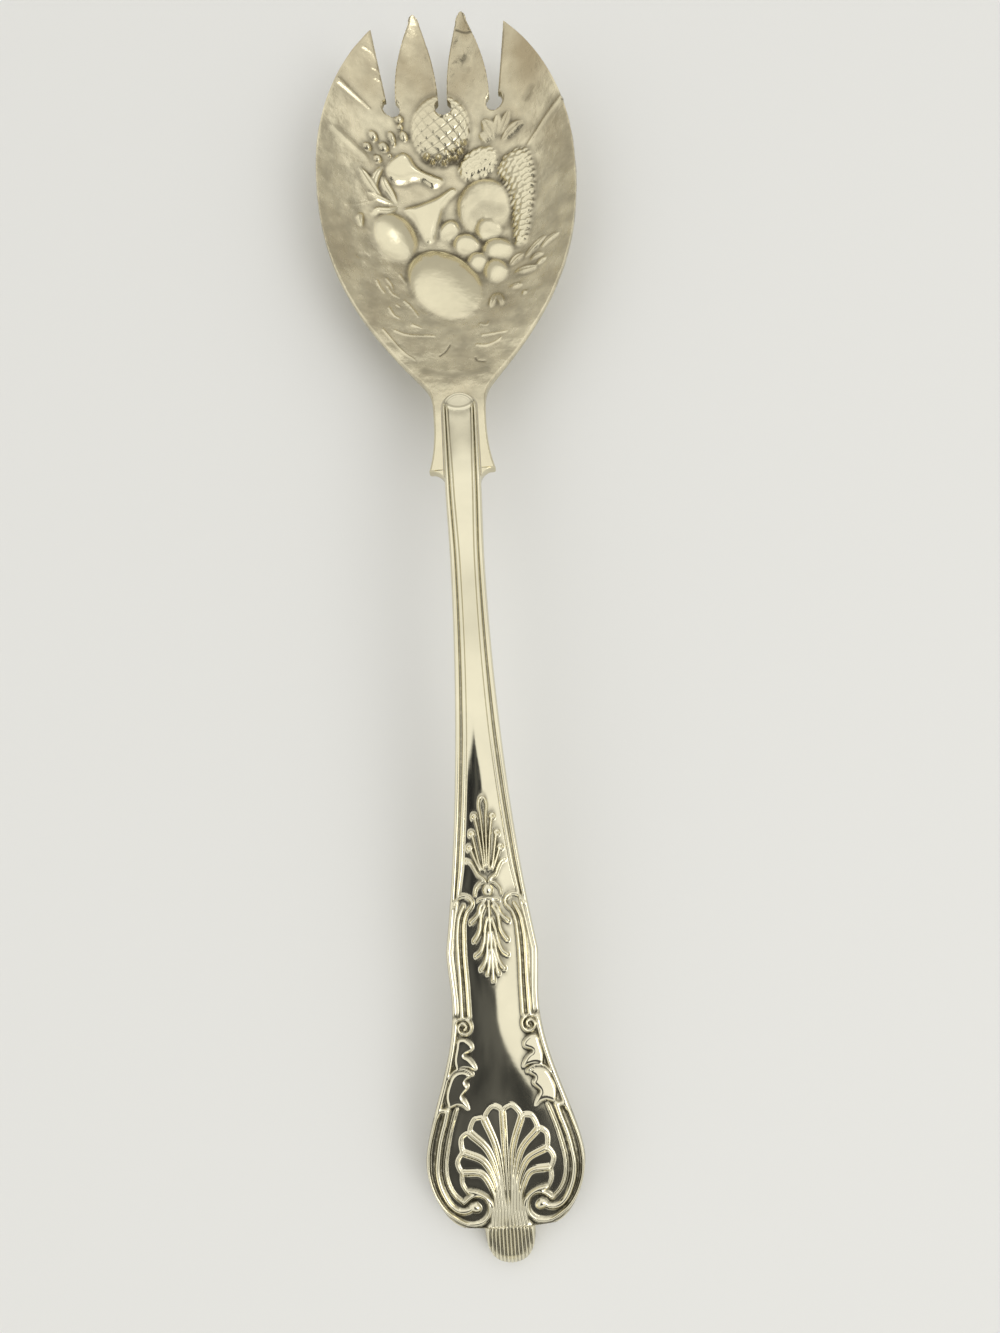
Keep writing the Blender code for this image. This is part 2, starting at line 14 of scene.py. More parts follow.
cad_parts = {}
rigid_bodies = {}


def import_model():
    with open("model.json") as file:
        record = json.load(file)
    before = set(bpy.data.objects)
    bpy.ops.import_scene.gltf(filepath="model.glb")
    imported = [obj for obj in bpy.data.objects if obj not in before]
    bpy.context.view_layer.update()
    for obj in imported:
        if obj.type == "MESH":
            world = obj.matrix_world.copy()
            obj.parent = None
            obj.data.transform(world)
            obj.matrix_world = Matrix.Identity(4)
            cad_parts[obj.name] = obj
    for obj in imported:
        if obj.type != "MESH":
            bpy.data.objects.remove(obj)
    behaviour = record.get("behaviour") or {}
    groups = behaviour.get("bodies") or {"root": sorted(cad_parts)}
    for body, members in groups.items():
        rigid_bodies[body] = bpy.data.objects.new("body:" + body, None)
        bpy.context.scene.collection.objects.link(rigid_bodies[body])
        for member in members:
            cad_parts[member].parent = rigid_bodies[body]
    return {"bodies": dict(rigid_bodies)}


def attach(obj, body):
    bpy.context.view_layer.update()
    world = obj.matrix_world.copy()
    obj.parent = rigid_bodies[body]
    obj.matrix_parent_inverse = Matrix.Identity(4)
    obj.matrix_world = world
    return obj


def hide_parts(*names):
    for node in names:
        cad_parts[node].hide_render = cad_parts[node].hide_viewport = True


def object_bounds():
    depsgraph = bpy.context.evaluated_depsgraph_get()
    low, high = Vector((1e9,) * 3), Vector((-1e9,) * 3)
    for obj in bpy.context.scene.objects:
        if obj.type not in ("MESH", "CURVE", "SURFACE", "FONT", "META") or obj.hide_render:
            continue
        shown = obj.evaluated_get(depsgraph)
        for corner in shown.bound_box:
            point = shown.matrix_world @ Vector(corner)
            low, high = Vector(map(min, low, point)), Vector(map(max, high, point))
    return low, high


MM = 0.001

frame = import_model()
cad_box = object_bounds()
scene = bpy.context.scene
body = next(iter(frame["bodies"]))
LENGTH = (cad_box[1].y - cad_box[0].y) / MM

# Lengths along the fork
BUTT_AT = 121.0  # the handle's bar ends here, and its tongue goes on
SHANK_LENGTH = 19.0
CREST_BACK = 17.0
NECK_AT = BUTT_AT + SHANK_LENGTH

# Handle outline and section
TAB_LENGTH = 5.6
TAB_WIDTH = 7.6
TAB_SHOULDER_WIDTH = 12.0
END_AT = 15.2
END_WIDTH = 24.0
END_POWER = 1.6
WAIST_AT = 38.4
WAIST_WIDTH = 13.1
SCROLL_AT = 46.0
SCROLL_WIDTH = 13.9
STEM_AT = BUTT_AT - 15.0
STEM_WIDTH = 5.5
TAB_POWER = 2.5
WAIST_POWER = 0.85
STEM_POWER = 0.52
BLUNT = 0.05
END_THICKNESS = 2.9
REST_CUT = 0.6
FRONT_CROWN = 0.45
BACK_CROWN = 0.5
TONGUE_WIDTH = 6.0
TONGUE_THICK = 1.3
TONGUE_END = NECK_AT - 0.8
TONGUE_NOSE = TONGUE_END - TONGUE_WIDTH / 2
ARCH_POWER = 1.7
HANDLE_EDGE = 0.28  # radius on the handle's edges
TONGUE_EDGE = 0.22
TIP_ROUND = 1.7  # radius over the fluted tip

# Bowl, shank and lap
SHEET = 1.5
LAP_STACK = 2.3
LAP_SINK = 0.05  # the tongue's face runs this far into the shank, so that no gap shows
RIM_HEIGHT = 10.2
BOWL_WIDTH = 49.2
WIDEST_AT = NECK_AT + 51.0
HEEL_LENGTH = 56.0
HEEL_POWER = 1.25
NOSE_LENGTH = LENGTH + 1.5 - WIDEST_AT
BELLY_AT = NECK_AT + 46.0
BELLY_CUT = 0.3
DEPTH_START = NECK_AT + 3.0
DEPTH_END = LENGTH + 6.0
HEEL_DEPTH_POWER = 1.6
NOSE_DEPTH_POWER = 0.9
NOSE_RISE = 1.4
NECK_RISE = 1.7
NECK_WIDTH = 9.0
NECK_FILLET = 1.4
NECK_BLEND = 9.0  # length of the change from shank to bowl
SHOULDER_WIDTH = 11.1
SHOULDER_DROP = 2.5
SHANK_TAPER = 10.0
SHANK_FLARE = 2.4
SHANK_SLOPE = 0.2
SLOPE_LENGTH = math.hypot(1.0, SHANK_SLOPE)
RIM_EDGE = 0.45  # radius on the bowl's rim and slots

# Tines
SLOT_PITCH = 10.3
SLOT_WIDTH = 1.8
SLOT_LENGTH = 16.0
ROOT_RADIUS = 1.7
MID_TIP_OFFSET = 4.65
MID_TIP_RADIUS = 1.1
MID_TINE_POWER = 2.1
OUTER_TINE_LEAN = 0.17


def unit(t):
    """A value held between 0 and 1."""
    return np.clip(t, 0.0, 1.0)


def ease(t):
    t = unit(t)
    return t * t * (3.0 - 2.0 * t)


def mix(a, b, t):
    return a + (b - a) * t


def smooth_max(a, b, radius):
    d = b - a
    return a + 0.5 * (d + np.hypot(d, radius))


def corner(distance, radius):
    """Drop of a rounded edge at a distance inside it."""
    reach = np.clip(radius - distance, 0.0, radius)
    return radius - np.sqrt(np.maximum(radius * radius - reach * reach, 0.0))


# Side profile and outlines, each for an array of stations

def tongue_underside(s):
    return RIM_HEIGHT + NECK_RISE + SHANK_SLOPE * (NECK_AT - s) + LAP_STACK * SLOPE_LENGTH


def front_line(s):
    """Height of the handle's front along its middle."""
    crest_at = BUTT_AT - CREST_BACK
    bend = SHANK_SLOPE / (2 * CREST_BACK)
    tongue = tongue_underside(s) + TONGUE_THICK * SLOPE_LENGTH
    butt = tongue_underside(BUTT_AT) + TONGUE_THICK * SLOPE_LENGTH
    crest = butt + bend * CREST_BACK ** 2
    rise = crest - (END_THICKNESS - REST_CUT)
    arch = crest - rise * (np.clip(crest_at - s, 0.0, None) / crest_at) ** ARCH_POWER
    arch = arch - bend * np.clip(s - crest_at, 0.0, CREST_BACK) ** 2
    return np.where(s < BUTT_AT, arch, tongue)


def handle_thickness(s):
    full = (LAP_STACK + TONGUE_THICK) * SLOPE_LENGTH
    body_thickness = mix(END_THICKNESS, full, ease(s / BUTT_AT))
    return np.where(s < BUTT_AT, body_thickness, TONGUE_THICK * SLOPE_LENGTH + LAP_SINK)


def handle_half(s):
    tab = TAB_WIDTH / 2 * np.sqrt(np.maximum(1.0 - unit(1.0 - s / TAB_LENGTH) ** TAB_POWER, BLUNT))
    reach = unit((END_AT - s) / (END_AT - TAB_LENGTH))
    shoulder = mix(TAB_SHOULDER_WIDTH, END_WIDTH, np.sqrt(1.0 - reach ** END_POWER)) / 2
    waist = unit((s - END_AT) / (WAIST_AT - END_AT))
    waist = mix(END_WIDTH, WAIST_WIDTH, ease(waist ** WAIST_POWER)) / 2
    scroll = mix(WAIST_WIDTH, SCROLL_WIDTH, ease((s - WAIST_AT) / (SCROLL_AT - WAIST_AT))) / 2
    stem = unit((s - SCROLL_AT) / (STEM_AT - SCROLL_AT))
    stem = mix(SCROLL_WIDTH, STEM_WIDTH, ease(stem ** STEM_POWER)) / 2
    tongue = mix(STEM_WIDTH, TONGUE_WIDTH, ease((s - STEM_AT) / (BUTT_AT - STEM_AT))) / 2
    reach = unit((s - TONGUE_NOSE) / (TONGUE_END - TONGUE_NOSE))
    tongue = tongue * np.sqrt(np.maximum(1.0 - reach ** 2, BLUNT))
    steps = [s <= end for end in (TAB_LENGTH, END_AT, WAIST_AT, SCROLL_AT, STEM_AT)]
    return np.select(steps, [tab, shoulder, waist, scroll, stem], tongue)


def bowl_half(s):
    reach = unit((s - BUTT_AT) / SHOULDER_DROP)
    shoulder = mix(TONGUE_WIDTH, SHOULDER_WIDTH, 1.0 - np.sqrt(1.0 - reach ** 2)) / 2
    back = WIDEST_AT - s
    nose = BOWL_WIDTH / 2 * np.sqrt(unit(1.0 - (back / NOSE_LENGTH) ** 2))
    heel = np.cos(math.pi / 2 * unit(back / HEEL_LENGTH) ** HEEL_POWER) * BOWL_WIDTH / 2
    narrowed = unit((s - BUTT_AT - SHOULDER_DROP) / SHANK_TAPER)
    shank = mix(SHOULDER_WIDTH, NECK_WIDTH, 1.0 - (1.0 - narrowed) ** SHANK_FLARE) / 2
    along_neck = 1.0 - (NECK_AT - s) / (SHANK_LENGTH / 2)
    neck = smooth_max(shank, heel, NECK_FILLET * ease(along_neck))
    return np.select([s < BUTT_AT + SHOULDER_DROP, back < 0.0], [shoulder, nose], neck)


def rim_line(s):
    shank = RIM_HEIGHT + NECK_RISE + SHANK_SLOPE * (NECK_AT - s)
    span = WIDEST_AT - NECK_AT
    t = unit((s - NECK_AT) / span)
    heel = RIM_HEIGHT + NECK_RISE * (1.0 - ease(t)) - (t ** 3 - 2 * t ** 2 + t) * span * SHANK_SLOPE
    nose = RIM_HEIGHT + NOSE_RISE * ((s - WIDEST_AT) / NOSE_LENGTH) ** 2
    return np.select([s <= NECK_AT, s < WIDEST_AT], [shank, heel], nose)


def bowl_depth(s):
    full = RIM_HEIGHT + BELLY_CUT
    t = unit((s - DEPTH_START) / (BELLY_AT - DEPTH_START))
    past = unit((s - BELLY_AT) / (DEPTH_END - BELLY_AT))
    heel = np.sin(math.pi / 2 * t) ** HEEL_DEPTH_POWER
    return full * np.where(t < 1.0, heel, np.cos(math.pi / 2 * past) ** NOSE_DEPTH_POWER)


def bowl_outer(x, s):
    u = unit(np.abs(x) / bowl_half(s))
    return rim_line(s) - bowl_depth(s) * (1.0 - u * u)


def slopes(surface, x, s, step=0.1):
    across = (surface(x + step, s) - surface(x - step, s)) / (2 * step)
    along = (surface(x, s + step) - surface(x, s - step)) / (2 * step)
    return across, along


def bowl_inner(x, s):
    """The hollow side: a sheet's thickness above the outer side, thicker along the shank."""
    thickness = mix(LAP_STACK, SHEET, ease((s - NECK_AT) / NECK_BLEND))
    return bowl_outer(x, s) + thickness * np.hypot(1.0, np.hypot(*slopes(bowl_outer, x, s)))


# Relief

def smooth_path(points, closed=False, steps=8):
    """A finer path through (x, s) points, along a Catmull-Rom curve."""
    p = np.array(points, float)
    if len(p) < 3:
        return p
    if closed:
        p = np.vstack((p[-1], p, p[0], p[1]))
    else:
        p = np.vstack((2 * p[0] - p[1], p, 2 * p[-1] - p[-2]))
    t = np.linspace(0.0, 1.0, steps, endpoint=False)[:, None]
    spans = [
        0.5 * (2 * b + (c - a) * t + (2 * a - 5 * b + 4 * c - d) * t ** 2
               + (3 * b - a - 3 * c + d) * t ** 3)
        for a, b, c, d in zip(p, p[1:], p[2:], p[3:])]
    return np.vstack(spans + [p[-2]])


def near_path(x, s, path):
    """Distance of points from a path, and how far along it they are, 0 to 1."""
    gap, place = np.full(x.shape, np.inf), np.zeros(x.shape)
    step = np.diff(path, axis=0)
    length = np.hypot(*step.T)
    start = np.hstack(([0.0], np.cumsum(length)))
    for a, d, span, before in zip(path, step, length, start):
        t = unit(((x - a[0]) * d[0] + (s - a[1]) * d[1]) / span ** 2)
        away = np.hypot(x - a[0] - t * d[0], s - a[1] - t * d[1])
        near = away < gap
        gap[near] = away[near]
        place[near] = before + t[near] * span
    return gap, place / start[-1]


def blurred(grid, cells):
    """Box blur of a 2-D grid along each axis, its edges held, run twice."""
    for reach in cells * 2:
        width = 2 * reach + 1
        total = np.cumsum(np.pad(grid, ((reach + 1, reach), (0, 0)), mode="edge"), axis=0)
        grid = ((total[width:] - total[:-width]) / width).T
    return grid


class Relief:
    """Height over a grid of (x, s) points."""

    def __init__(self, x, s):
        self.shape = x.shape
        self.x = x.ravel()
        self.s = s.ravel()
        self.height = np.zeros(self.x.size)
        self.recess = np.zeros(self.x.size)
        self.polish = np.ones(self.x.size)

    def grid(self, name):
        return getattr(self, name).reshape(self.shape)

    def softened(self):
        """Height on the grid, half blurred, so that no step is sharper than the mesh can show."""
        height = self.grid("height")
        return blurred(height, (1, 1)) * 0.5 + height * 0.5

    def window(self, points, margin):
        low, high = np.min(points, axis=0) - margin, np.max(points, axis=0) + margin
        inside = (self.x > low[0]) & (self.x < high[0]) & (self.s > low[1]) & (self.s < high[1])
        return np.flatnonzero(inside)

    def lift(self, spot, value):
        self.height[spot] = np.maximum(self.height[spot], value)

    def along(self, path, margin):
        """Points near a path, their distance from it and how far along it they are, 0 to 1."""
        path = smooth_path(path)
        spot = self.window(path, margin)
        return spot, *near_path(self.x[spot], self.s[spot], path)

    def ridge(self, path, half, height, ends=(1.0, 1.0), base=0.0, fullness=1.0):
        """A rounded ridge along a path. ends are the shares of its width at its two ends."""
        spot, gap, t = self.along(path, half * max(ends))
        share = mix(ends[0], ends[1], t)
        q = gap / (half * share)
        inside = q < 1.0
        value = base + height * np.sqrt(share[inside]) * (1.0 - q[inside] ** 2) ** fullness
        self.lift(spot[inside], value)

    def groove(self, path, half, depth, dark):
        spot, gap, _ = self.along(path, half)
        share = unit(1.0 - (gap / half) ** 2)
        self.height[spot] -= depth * share
        # dark is oxidation in most grooves, and painted shade in the apple's crease and the heel arc
        self.recess[spot] = np.maximum(self.recess[spot], dark * share)

    def dome(self, x, s, half_a, half_b, turn, height, fullness=0.6, lean=0.0):
        """A rounded boss. Returns its points, their place across and along it, and its share of height."""
        spot = self.window([(x, s)], max(half_a, half_b))
        c, n = math.cos(math.radians(turn)), math.sin(math.radians(turn))
        dx, ds = self.x[spot] - x, self.s[spot] - s
        a, b = dx * c + ds * n, ds * c - dx * n
        r2 = (a / half_a) ** 2 + (b / half_b) ** 2
        keep = r2 < 1.0
        spot, a, b, r2 = spot[keep], a[keep], b[keep], r2[keep]
        share = (1.0 - r2) ** fullness
        self.lift(spot, height * share * (1.0 + lean * b / half_b))
        return spot, a, b, share

    def pillow(self, outline, height, rim, fullness, steps=8):
        """A rounded island that is at its full height a rim's width inside its outline."""
        path = smooth_path(outline, True, steps)
        spot = self.window(path, 0.0)
        x, s = self.x[spot], self.s[spot]
        inside = np.zeros(spot.size, bool)
        for a, b in zip(path, path[1:]):
            if a[1] != b[1]:
                crossing = a[0] + (s - a[1]) * (b[0] - a[0]) / (b[1] - a[1])
                inside ^= ((a[1] > s) != (b[1] > s)) & (x < crossing)
        gap, _ = near_path(x[inside], s[inside], path)
        self.lift(spot[inside], height * (1.0 - (1.0 - np.minimum(gap, rim) / rim) ** 2) ** fullness)

    def leaf(self, path, half, rubbed):
        """A leaf along a path, with a sunk vein along its middle, and polished if it is rubbed."""
        spot, gap, t = self.along(path, half)
        within = (t > 0.0) & (t < 1.0)
        spot, gap, t = spot[within], gap[within], t[within]
        swell = np.sin(math.pi * t ** (math.log(0.5) / math.log(LEAF_BELLY)))
        q = gap / (half * swell ** LEAF_TAPER)
        keep = q < 1.0
        spot, gap, swell, inside = spot[keep], gap[keep], swell[keep], 1.0 - q[keep] ** 2
        height = LEAF_HEIGHT * inside ** LEAF_ROUND * swell ** LEAF_FADE
        self.lift(spot, height - LEAF_VEIN * np.exp(-(gap / VEIN_HALF) ** 2))
        self.polish[spot] = np.maximum(self.polish[spot], rubbed * inside)


def spiral(x, s, outer, inner, turns, start, hand=1):
    """Points on a spiral about (x, s), from its outer radius in. start is in turns from +x."""
    t = np.linspace(0.0, 1.0, 40)
    angle = 2 * math.pi * (start + hand * turns * t)
    radius = mix(outer, inner, t)
    return np.column_stack((x + radius * np.cos(angle), s + radius * np.sin(angle)))


# Handle ornament, for the right-hand side and mirrored: (x, s) points
REEDS = (  # station, then inset from the outline and half width of the outer and of the inner reed
    (36.0, 0.36, 0.36, 0.88, 0.2),
    (50.0, 0.36, 0.36, 0.88, 0.2),
    (58.0, 0.36, 0.36, 1.34, 0.36),
    (78.0, 0.4, 0.4, 1.48, 0.34),
    (106.0, 0.4, 0.4, 1.26, 0.34),
    (121.0, 0.36, 0.36, 1.14, 0.3),
    (136.0, 0.28, 0.26, 0.82, 0.2),
)
REED_HEIGHT = 0.36
REED_BED = 0.18  # the reeds lie in a bed this deep
BED_EDGE = 0.24  # width of the slope down to the bed
BED_DARK = 0.65  # oxide in the bed
BED_START = 52.0
BED_BLEND = 3.0  # the bed sinks over this length
REED_START = 36.0
LIP_AT = 135.6  # where the panel ends in a curved lip
LIP_BOW = 0.19
LIP_REACH = 2.3
LIP_LEAD = 0.6  # the panel starts to fall this far before the lip
LIP_FALL = 1.1  # length of that fall
LIP_SHINE = 0.5  # reach of the polish on the lip
TONGUE_FALL = 0.5  # fall of the tongue's reeds from butt to lip
PANEL_FALL = 0.35  # how much further its panel falls
TONGUE_DULL = 0.4  # polish that the tongue has lost
DULL_BLEND = 12.0  # length over which it is lost
NOSE_HEIGHT = 0.58  # height of the crescent beyond the lip, above the shank
RAISED = 0.46  # height of the scrolls, leaves and shell above the field

HAIRPIN = (
    (5.35, 52.6), (5.05, 53.3), (4.5, 53.85), (3.7, 54.05), (2.95, 53.75), (2.5, 53.2), (2.5, 52.75),
    (2.85, 52.2), (3.45, 51.5), (3.9, 50.1), (4.05, 48.4), (4.15, 45.3), (4.05, 40.7), (4.05, 36.4))
RAIL = ((3.8, 52.6), (4.35, 51.6), (4.75, 50.4), (5.05, 48.0), (5.1, 45.2), (5.05, 41.5), (5.1, 36.4))
UPPER_ACANTHUS = (
    (5.2, 33.4), (4.5, 33.1), (3.85, 32.5), (3.7, 31.8), (4.2, 31.4), (5.1, 31.0), (4.4, 30.5),
    (3.8, 29.8), (3.4, 28.7), (4.4, 28.9), (5.4, 29.1), (6.5, 29.0), (6.8, 30.2), (6.4, 32.0),
    (6.1, 33.2))
LOWER_ACANTHUS = (
    (4.2, 28.1), (4.8, 27.5), (5.2, 27.1), (4.75, 26.5), (4.9, 26.1), (5.5, 25.5), (5.8, 25.0),
    (5.3, 24.2), (4.9, 22.9), (5.8, 23.5), (6.8, 23.7), (8.0, 23.4), (8.4, 25.0), (7.8, 27.0),
    (7.0, 28.3), (5.6, 28.7))
ACANTHUS_COLLAR = ((4.1, 28.1), (4.7, 28.6), (5.6, 28.9), (6.8, 28.7), (7.7, 27.7))
SCROLL_RIM = (
    (6.65, 9.5), (5.6, 10.3), (4.3, 10.6), (3.2, 9.9), (2.8, 8.6), (3.15, 7.35), (4.2, 6.5), (5.55, 6.3),
    (6.85, 6.6), (9.1, 8.15), (10.65, 10.4), (11.5, 13.0), (11.6, 15.7), (11.15, 18.4), (9.9, 22.3),
    (9.2, 23.0), (8.2, 23.1))
SCROLL_OUTER = (
    (8.2, 23.1), (8.7, 21.4), (9.65, 18.4), (10.2, 15.3), (10.25, 13.8), (10.0, 12.2), (9.5, 10.8),
    (8.75, 9.4), (7.6, 8.4), (6.2, 8.3), (4.9, 9.1))
SCROLL_INNER = (
    (6.8, 23.2), (7.9, 20.1), (8.7, 16.9), (9.0, 15.2), (9.0, 13.6), (8.65, 12.0), (7.85, 10.6),
    (6.65, 9.5))
SCROLL_EYE = (5.0, 8.75)
SHELL_CRESTS = (  # from the foot out to the cusp between two lobes
    ((0.0, 7.4), (0.0, 15.0), (0.0, 22.2)),
    ((0.47, 7.4), (0.8, 14.0), (1.4, 17.8), (2.75, 21.4)),
    ((0.93, 7.4), (1.0, 9.5), (1.4, 13.5), (2.6, 17.0), (5.0, 19.5)),
    ((1.4, 7.4), (1.45, 9.5), (1.85, 12.6), (3.35, 15.4), (6.1, 16.75)),
    ((1.86, 7.4), (1.9, 9.2), (2.2, 11.0), (3.65, 13.5), (6.4, 13.9)),
    ((2.33, 7.4), (2.4, 8.8), (2.95, 9.9), (4.4, 10.8), (5.8, 11.1)),
)
LOBE_OUT = 0.5  # place of a lobe's shoulders, out towards its tip and to each side
LOBE_SIDE = 0.4
SHELL_TIPS = ((1.45, 23.3), (4.3, 21.55), (6.4, 18.85), (7.2, 15.4), (6.65, 12.3))
SHELL_SPAN = (17.4, 7.6, 6.4)  # station, half width and half length of the shell
SHELL_OXIDE = 0.1  # share of the oxide that is left in its flutes
RIB_PITCH = ((2.0, 0.56), (5.0, 0.55), (8.0, 0.46), (9.5, 0.49))  # station and pitch
RIB_REACH = ((0.0, 3.9), (5.4, 3.7), (6.4, 2.95), (9.5, 2.7))  # station and half width
RIB_HEIGHT = 0.28
RIB_END = 10.6
RIB_FADE = 3.0
RIB_EDGE = 0.3
NEEDLE = ((0.12, 58.2), (0.25, 62.2), (0.42, 65.5), (0.6, 67.2), (0.42, 68.2), (0.0, 68.55))
FRONDS = (
    ((0.4, 57.8), (0.55, 60.0), (0.95, 63.5), (1.3, 65.6)),
    ((0.7, 57.8), (1.1, 59.0), (1.6, 61.7), (1.85, 63.1)), ((1.0, 57.7), (1.5, 58.9), (2.25, 61.0)))
BALL_AT = (0.0, 54.8)
CALYX = ((2.95, 59.2), (2.35, 58.9), (1.95, 58.3), (1.65, 57.7), (1.3, 57.0), (0.45, 56.3))
CALYX_CURLS = ((2.0, 54.1), (1.8, 55.0), (1.1, 55.75), (0.3, 56.0))
BALL_COLLAR = ((1.6, 53.2), (0.85, 53.45), (0.0, 53.5))
PENDANT = (
    ((0.5, 53.2), (1.3, 52.3), (1.55, 51.4), (2.1, 50.7), (2.8, 50.1)),
    ((0.6, 52.4), (1.25, 51.0), (1.5, 49.2), (1.9, 48.2), (2.5, 47.4)),
    ((0.4, 50.5), (0.8, 48.8), (1.05, 47.2), (1.6, 45.8), (2.35, 45.2)),
    ((0.3, 48.5), (0.6, 46.5), (0.8, 45.0), (1.2, 43.9), (1.75, 43.2)),
    ((0.2, 46.0), (0.45, 44.5), (0.6, 43.4), (0.8, 42.5)), ((0.0, 53.0), (0.0, 41.5)))

BORDER_START = 22.3
BORDER_HALF = 0.46
SCROLLWORK = (  # path, half width, height above RAISED and share of the width at its start
    (HAIRPIN, 0.36, 0.0, 0.8),
    (RAIL, 0.4, 0.0, 0.8),
    (spiral(5.0, 34.9, outer=1.45, inner=0.3, turns=1.6, start=0.08), 0.27, 0.1, 1.0),
    (ACANTHUS_COLLAR, 0.2, 0.12, 1.0),
    (SCROLL_RIM, 0.32, 0.06, 1.0),
    (SCROLL_OUTER, 0.46, 0.04, 1.0),
    (SCROLL_INNER, 0.26, 0.0, 0.8),
    (NEEDLE, 0.22, 0.0, 0.8),
    *((frond, 0.24, 0.0, 0.7) for frond in FRONDS),
    *((curl, 0.28, 0.0, 0.8) for curl in (CALYX, CALYX_CURLS, BALL_COLLAR)),
    *((leaf, 0.38, 0.0, 0.7) for leaf in PENDANT),
)


def outline_gap(x, s):
    """Distance inside the handle's outline, going round its shoulders, its tip and the tongue's nose."""
    lean = (handle_half(s + 0.05) - handle_half(s - 0.05)) / 0.1
    gap = (handle_half(s) - x) / np.hypot(1.0, lean)
    nose = TONGUE_WIDTH / 2 - np.hypot(x, s - TONGUE_NOSE)
    gap = np.where(s > TONGUE_NOSE, nose, gap)
    shoulder = np.linspace(TAB_LENGTH + 0.01, END_AT + 1.5, 60)
    stations = np.hstack((np.linspace(0.0, TAB_LENGTH, 40), shoulder))
    outline = np.column_stack((handle_half(stations), stations))
    near = s < END_AT
    gap[near], _ = near_path(x[near], s[near], outline)
    return gap


def reed(gap, inset, half):
    return np.sqrt(unit(1.0 - ((gap - inset) / half) ** 2))


def stem_relief(relief, gap):
    """Reeds along the stem's edges, and the tongue's panel, lip and crescent."""
    x, s = relief.x, relief.s
    stations, *sizes = zip(*REEDS)
    outer_inset, outer_half, inner_inset, inner_half = (np.interp(s, stations, size) for size in sizes)
    bed = ease((inner_inset + inner_half + BED_EDGE / 2 - gap) / BED_EDGE)
    bed = bed * ease((s - BED_START) / BED_BLEND)
    reeds = np.maximum(reed(gap, outer_inset, outer_half), reed(gap, inner_inset, inner_half))
    relief.height -= REED_BED * bed
    relief.lift(slice(None), REED_HEIGHT * reeds * ease(s - REED_START) - REED_BED)
    relief.recess = BED_DARK * bed * unit(1.0 - 2.0 * reeds)
    on_tongue = ease((s - BUTT_AT) / (LIP_AT - BUTT_AT))
    relief.height -= (TONGUE_FALL + PANEL_FALL * (1.0 - bed)) * on_tongue
    past_lip = s - LIP_AT - LIP_BOW * x ** 2
    nose = NOSE_HEIGHT - TONGUE_THICK
    relief.height = mix(relief.height, nose, ease((past_lip + LIP_LEAD) / LIP_FALL))
    lip = [(a, LIP_AT + LIP_BOW * a ** 2) for a in np.linspace(0.0, LIP_REACH, 6)]
    relief.ridge(lip, half=0.4, height=0.12, base=nose)
    on_lip = np.exp(-(past_lip / LIP_SHINE) ** 2)
    relief.polish = 1.0 - TONGUE_DULL * ease((s - BUTT_AT) / DULL_BLEND) * (1.0 - on_lip)


def shell_relief(relief):
    """Scallop shell: crests between its flutes, a thin rim round each lobe, and ribs over the tip."""
    x, s = relief.x, relief.s
    for crest in SHELL_CRESTS:
        relief.ridge(crest, half=0.41, height=RAISED + 0.1, ends=(0.5, 1.0))
    cusps = [np.array(crest[-1]) for crest in SHELL_CRESTS]
    for before, tip, after in zip(cusps, SHELL_TIPS, cusps[1:]):
        middle = (before + after) / 2
        out = middle + LOBE_OUT * (np.array(tip) - middle)
        side = LOBE_SIDE * (after - before)
        relief.ridge((before, out - side, tip, out + side, after), half=0.17, height=RAISED)
    pitch, reach = (np.interp(s, *zip(*table)) for table in (RIB_PITCH, RIB_REACH))
    ribs = RAISED + RIB_HEIGHT * (np.cos(math.pi * x / pitch) ** 2 - 1.0)
    fade = ease((RIB_END - s) / RIB_FADE) * ease((reach - x) / RIB_EDGE)
    relief.height = mix(relief.height, np.maximum(relief.height, ribs), fade)


def scroll_relief(relief):
    """Scrolls and acanthus along the edges of the broad end, and the palmette and spray between them."""
    for path, half, rise, start in SCROLLWORK:
        relief.ridge(path, half, RAISED + rise, ends=(start, 1.0))
    stations = np.linspace(BORDER_START, REED_START, 12)
    border = np.column_stack((handle_half(stations) - BORDER_HALF, stations))
    relief.ridge(border, BORDER_HALF, RAISED, fullness=0.7)
    for *_, (x, s) in FRONDS:
        curl = spiral(x + 0.12, s, outer=0.4, inner=0.3, turns=0.9, start=0.5, hand=-1)
        relief.ridge(curl, half=0.17, height=RAISED)
    for leaf in (UPPER_ACANTHUS, LOWER_ACANTHUS):
        relief.pillow(leaf, RAISED, rim=0.45, fullness=0.7, steps=3)
    relief.dome(*SCROLL_EYE, half_a=0.95, half_b=0.7, turn=20, height=0.6)
    relief.dome(*BALL_AT, half_a=0.8, half_b=0.95, turn=0, height=0.62)


def handle_relief(x, s):
    """Ornament on the handle's front, the same on both sides of its middle."""
    relief = Relief(np.abs(x), s)
    stem_relief(relief, outline_gap(relief.x, relief.s))
    scroll_relief(relief)
    shell_relief(relief)
    return relief


# Bowl ornament: (x, s) points. Fruit: place, half width, half length, turn in degrees and height
APPLE = (6.9, 186.5, 5.4, 6.7, 12, 1.5, 0.3)
DOMES = (  # with how much the far half stands up
    (-10.8, 180.0, 4.1, 5.8, 9, 1.2, 0.1),
    (-1.6, 168.0, 6.7, 9.8, 21, 1.9, 0.6),
    APPLE,
    (-0.3, 182.4, 2.0, 2.7, -18, 0.9, 0.3),
    (2.9, 178.6, 2.5, 3.0, 31, 1.0, 0.3),
    (7.4, 181.2, 2.5, 3.1, 33, 1.45, 0.3),
    (8.9, 175.8, 2.6, 3.4, 42, 1.1, 0.3),
    (5.0, 173.6, 2.2, 2.7, 16, 1.0, 0.3),
    (8.2, 170.4, 2.3, 3.2, 12, 1.0, 0.3),
)
POLISHED_FROM = 0.7  # relief as high as this is polished all over
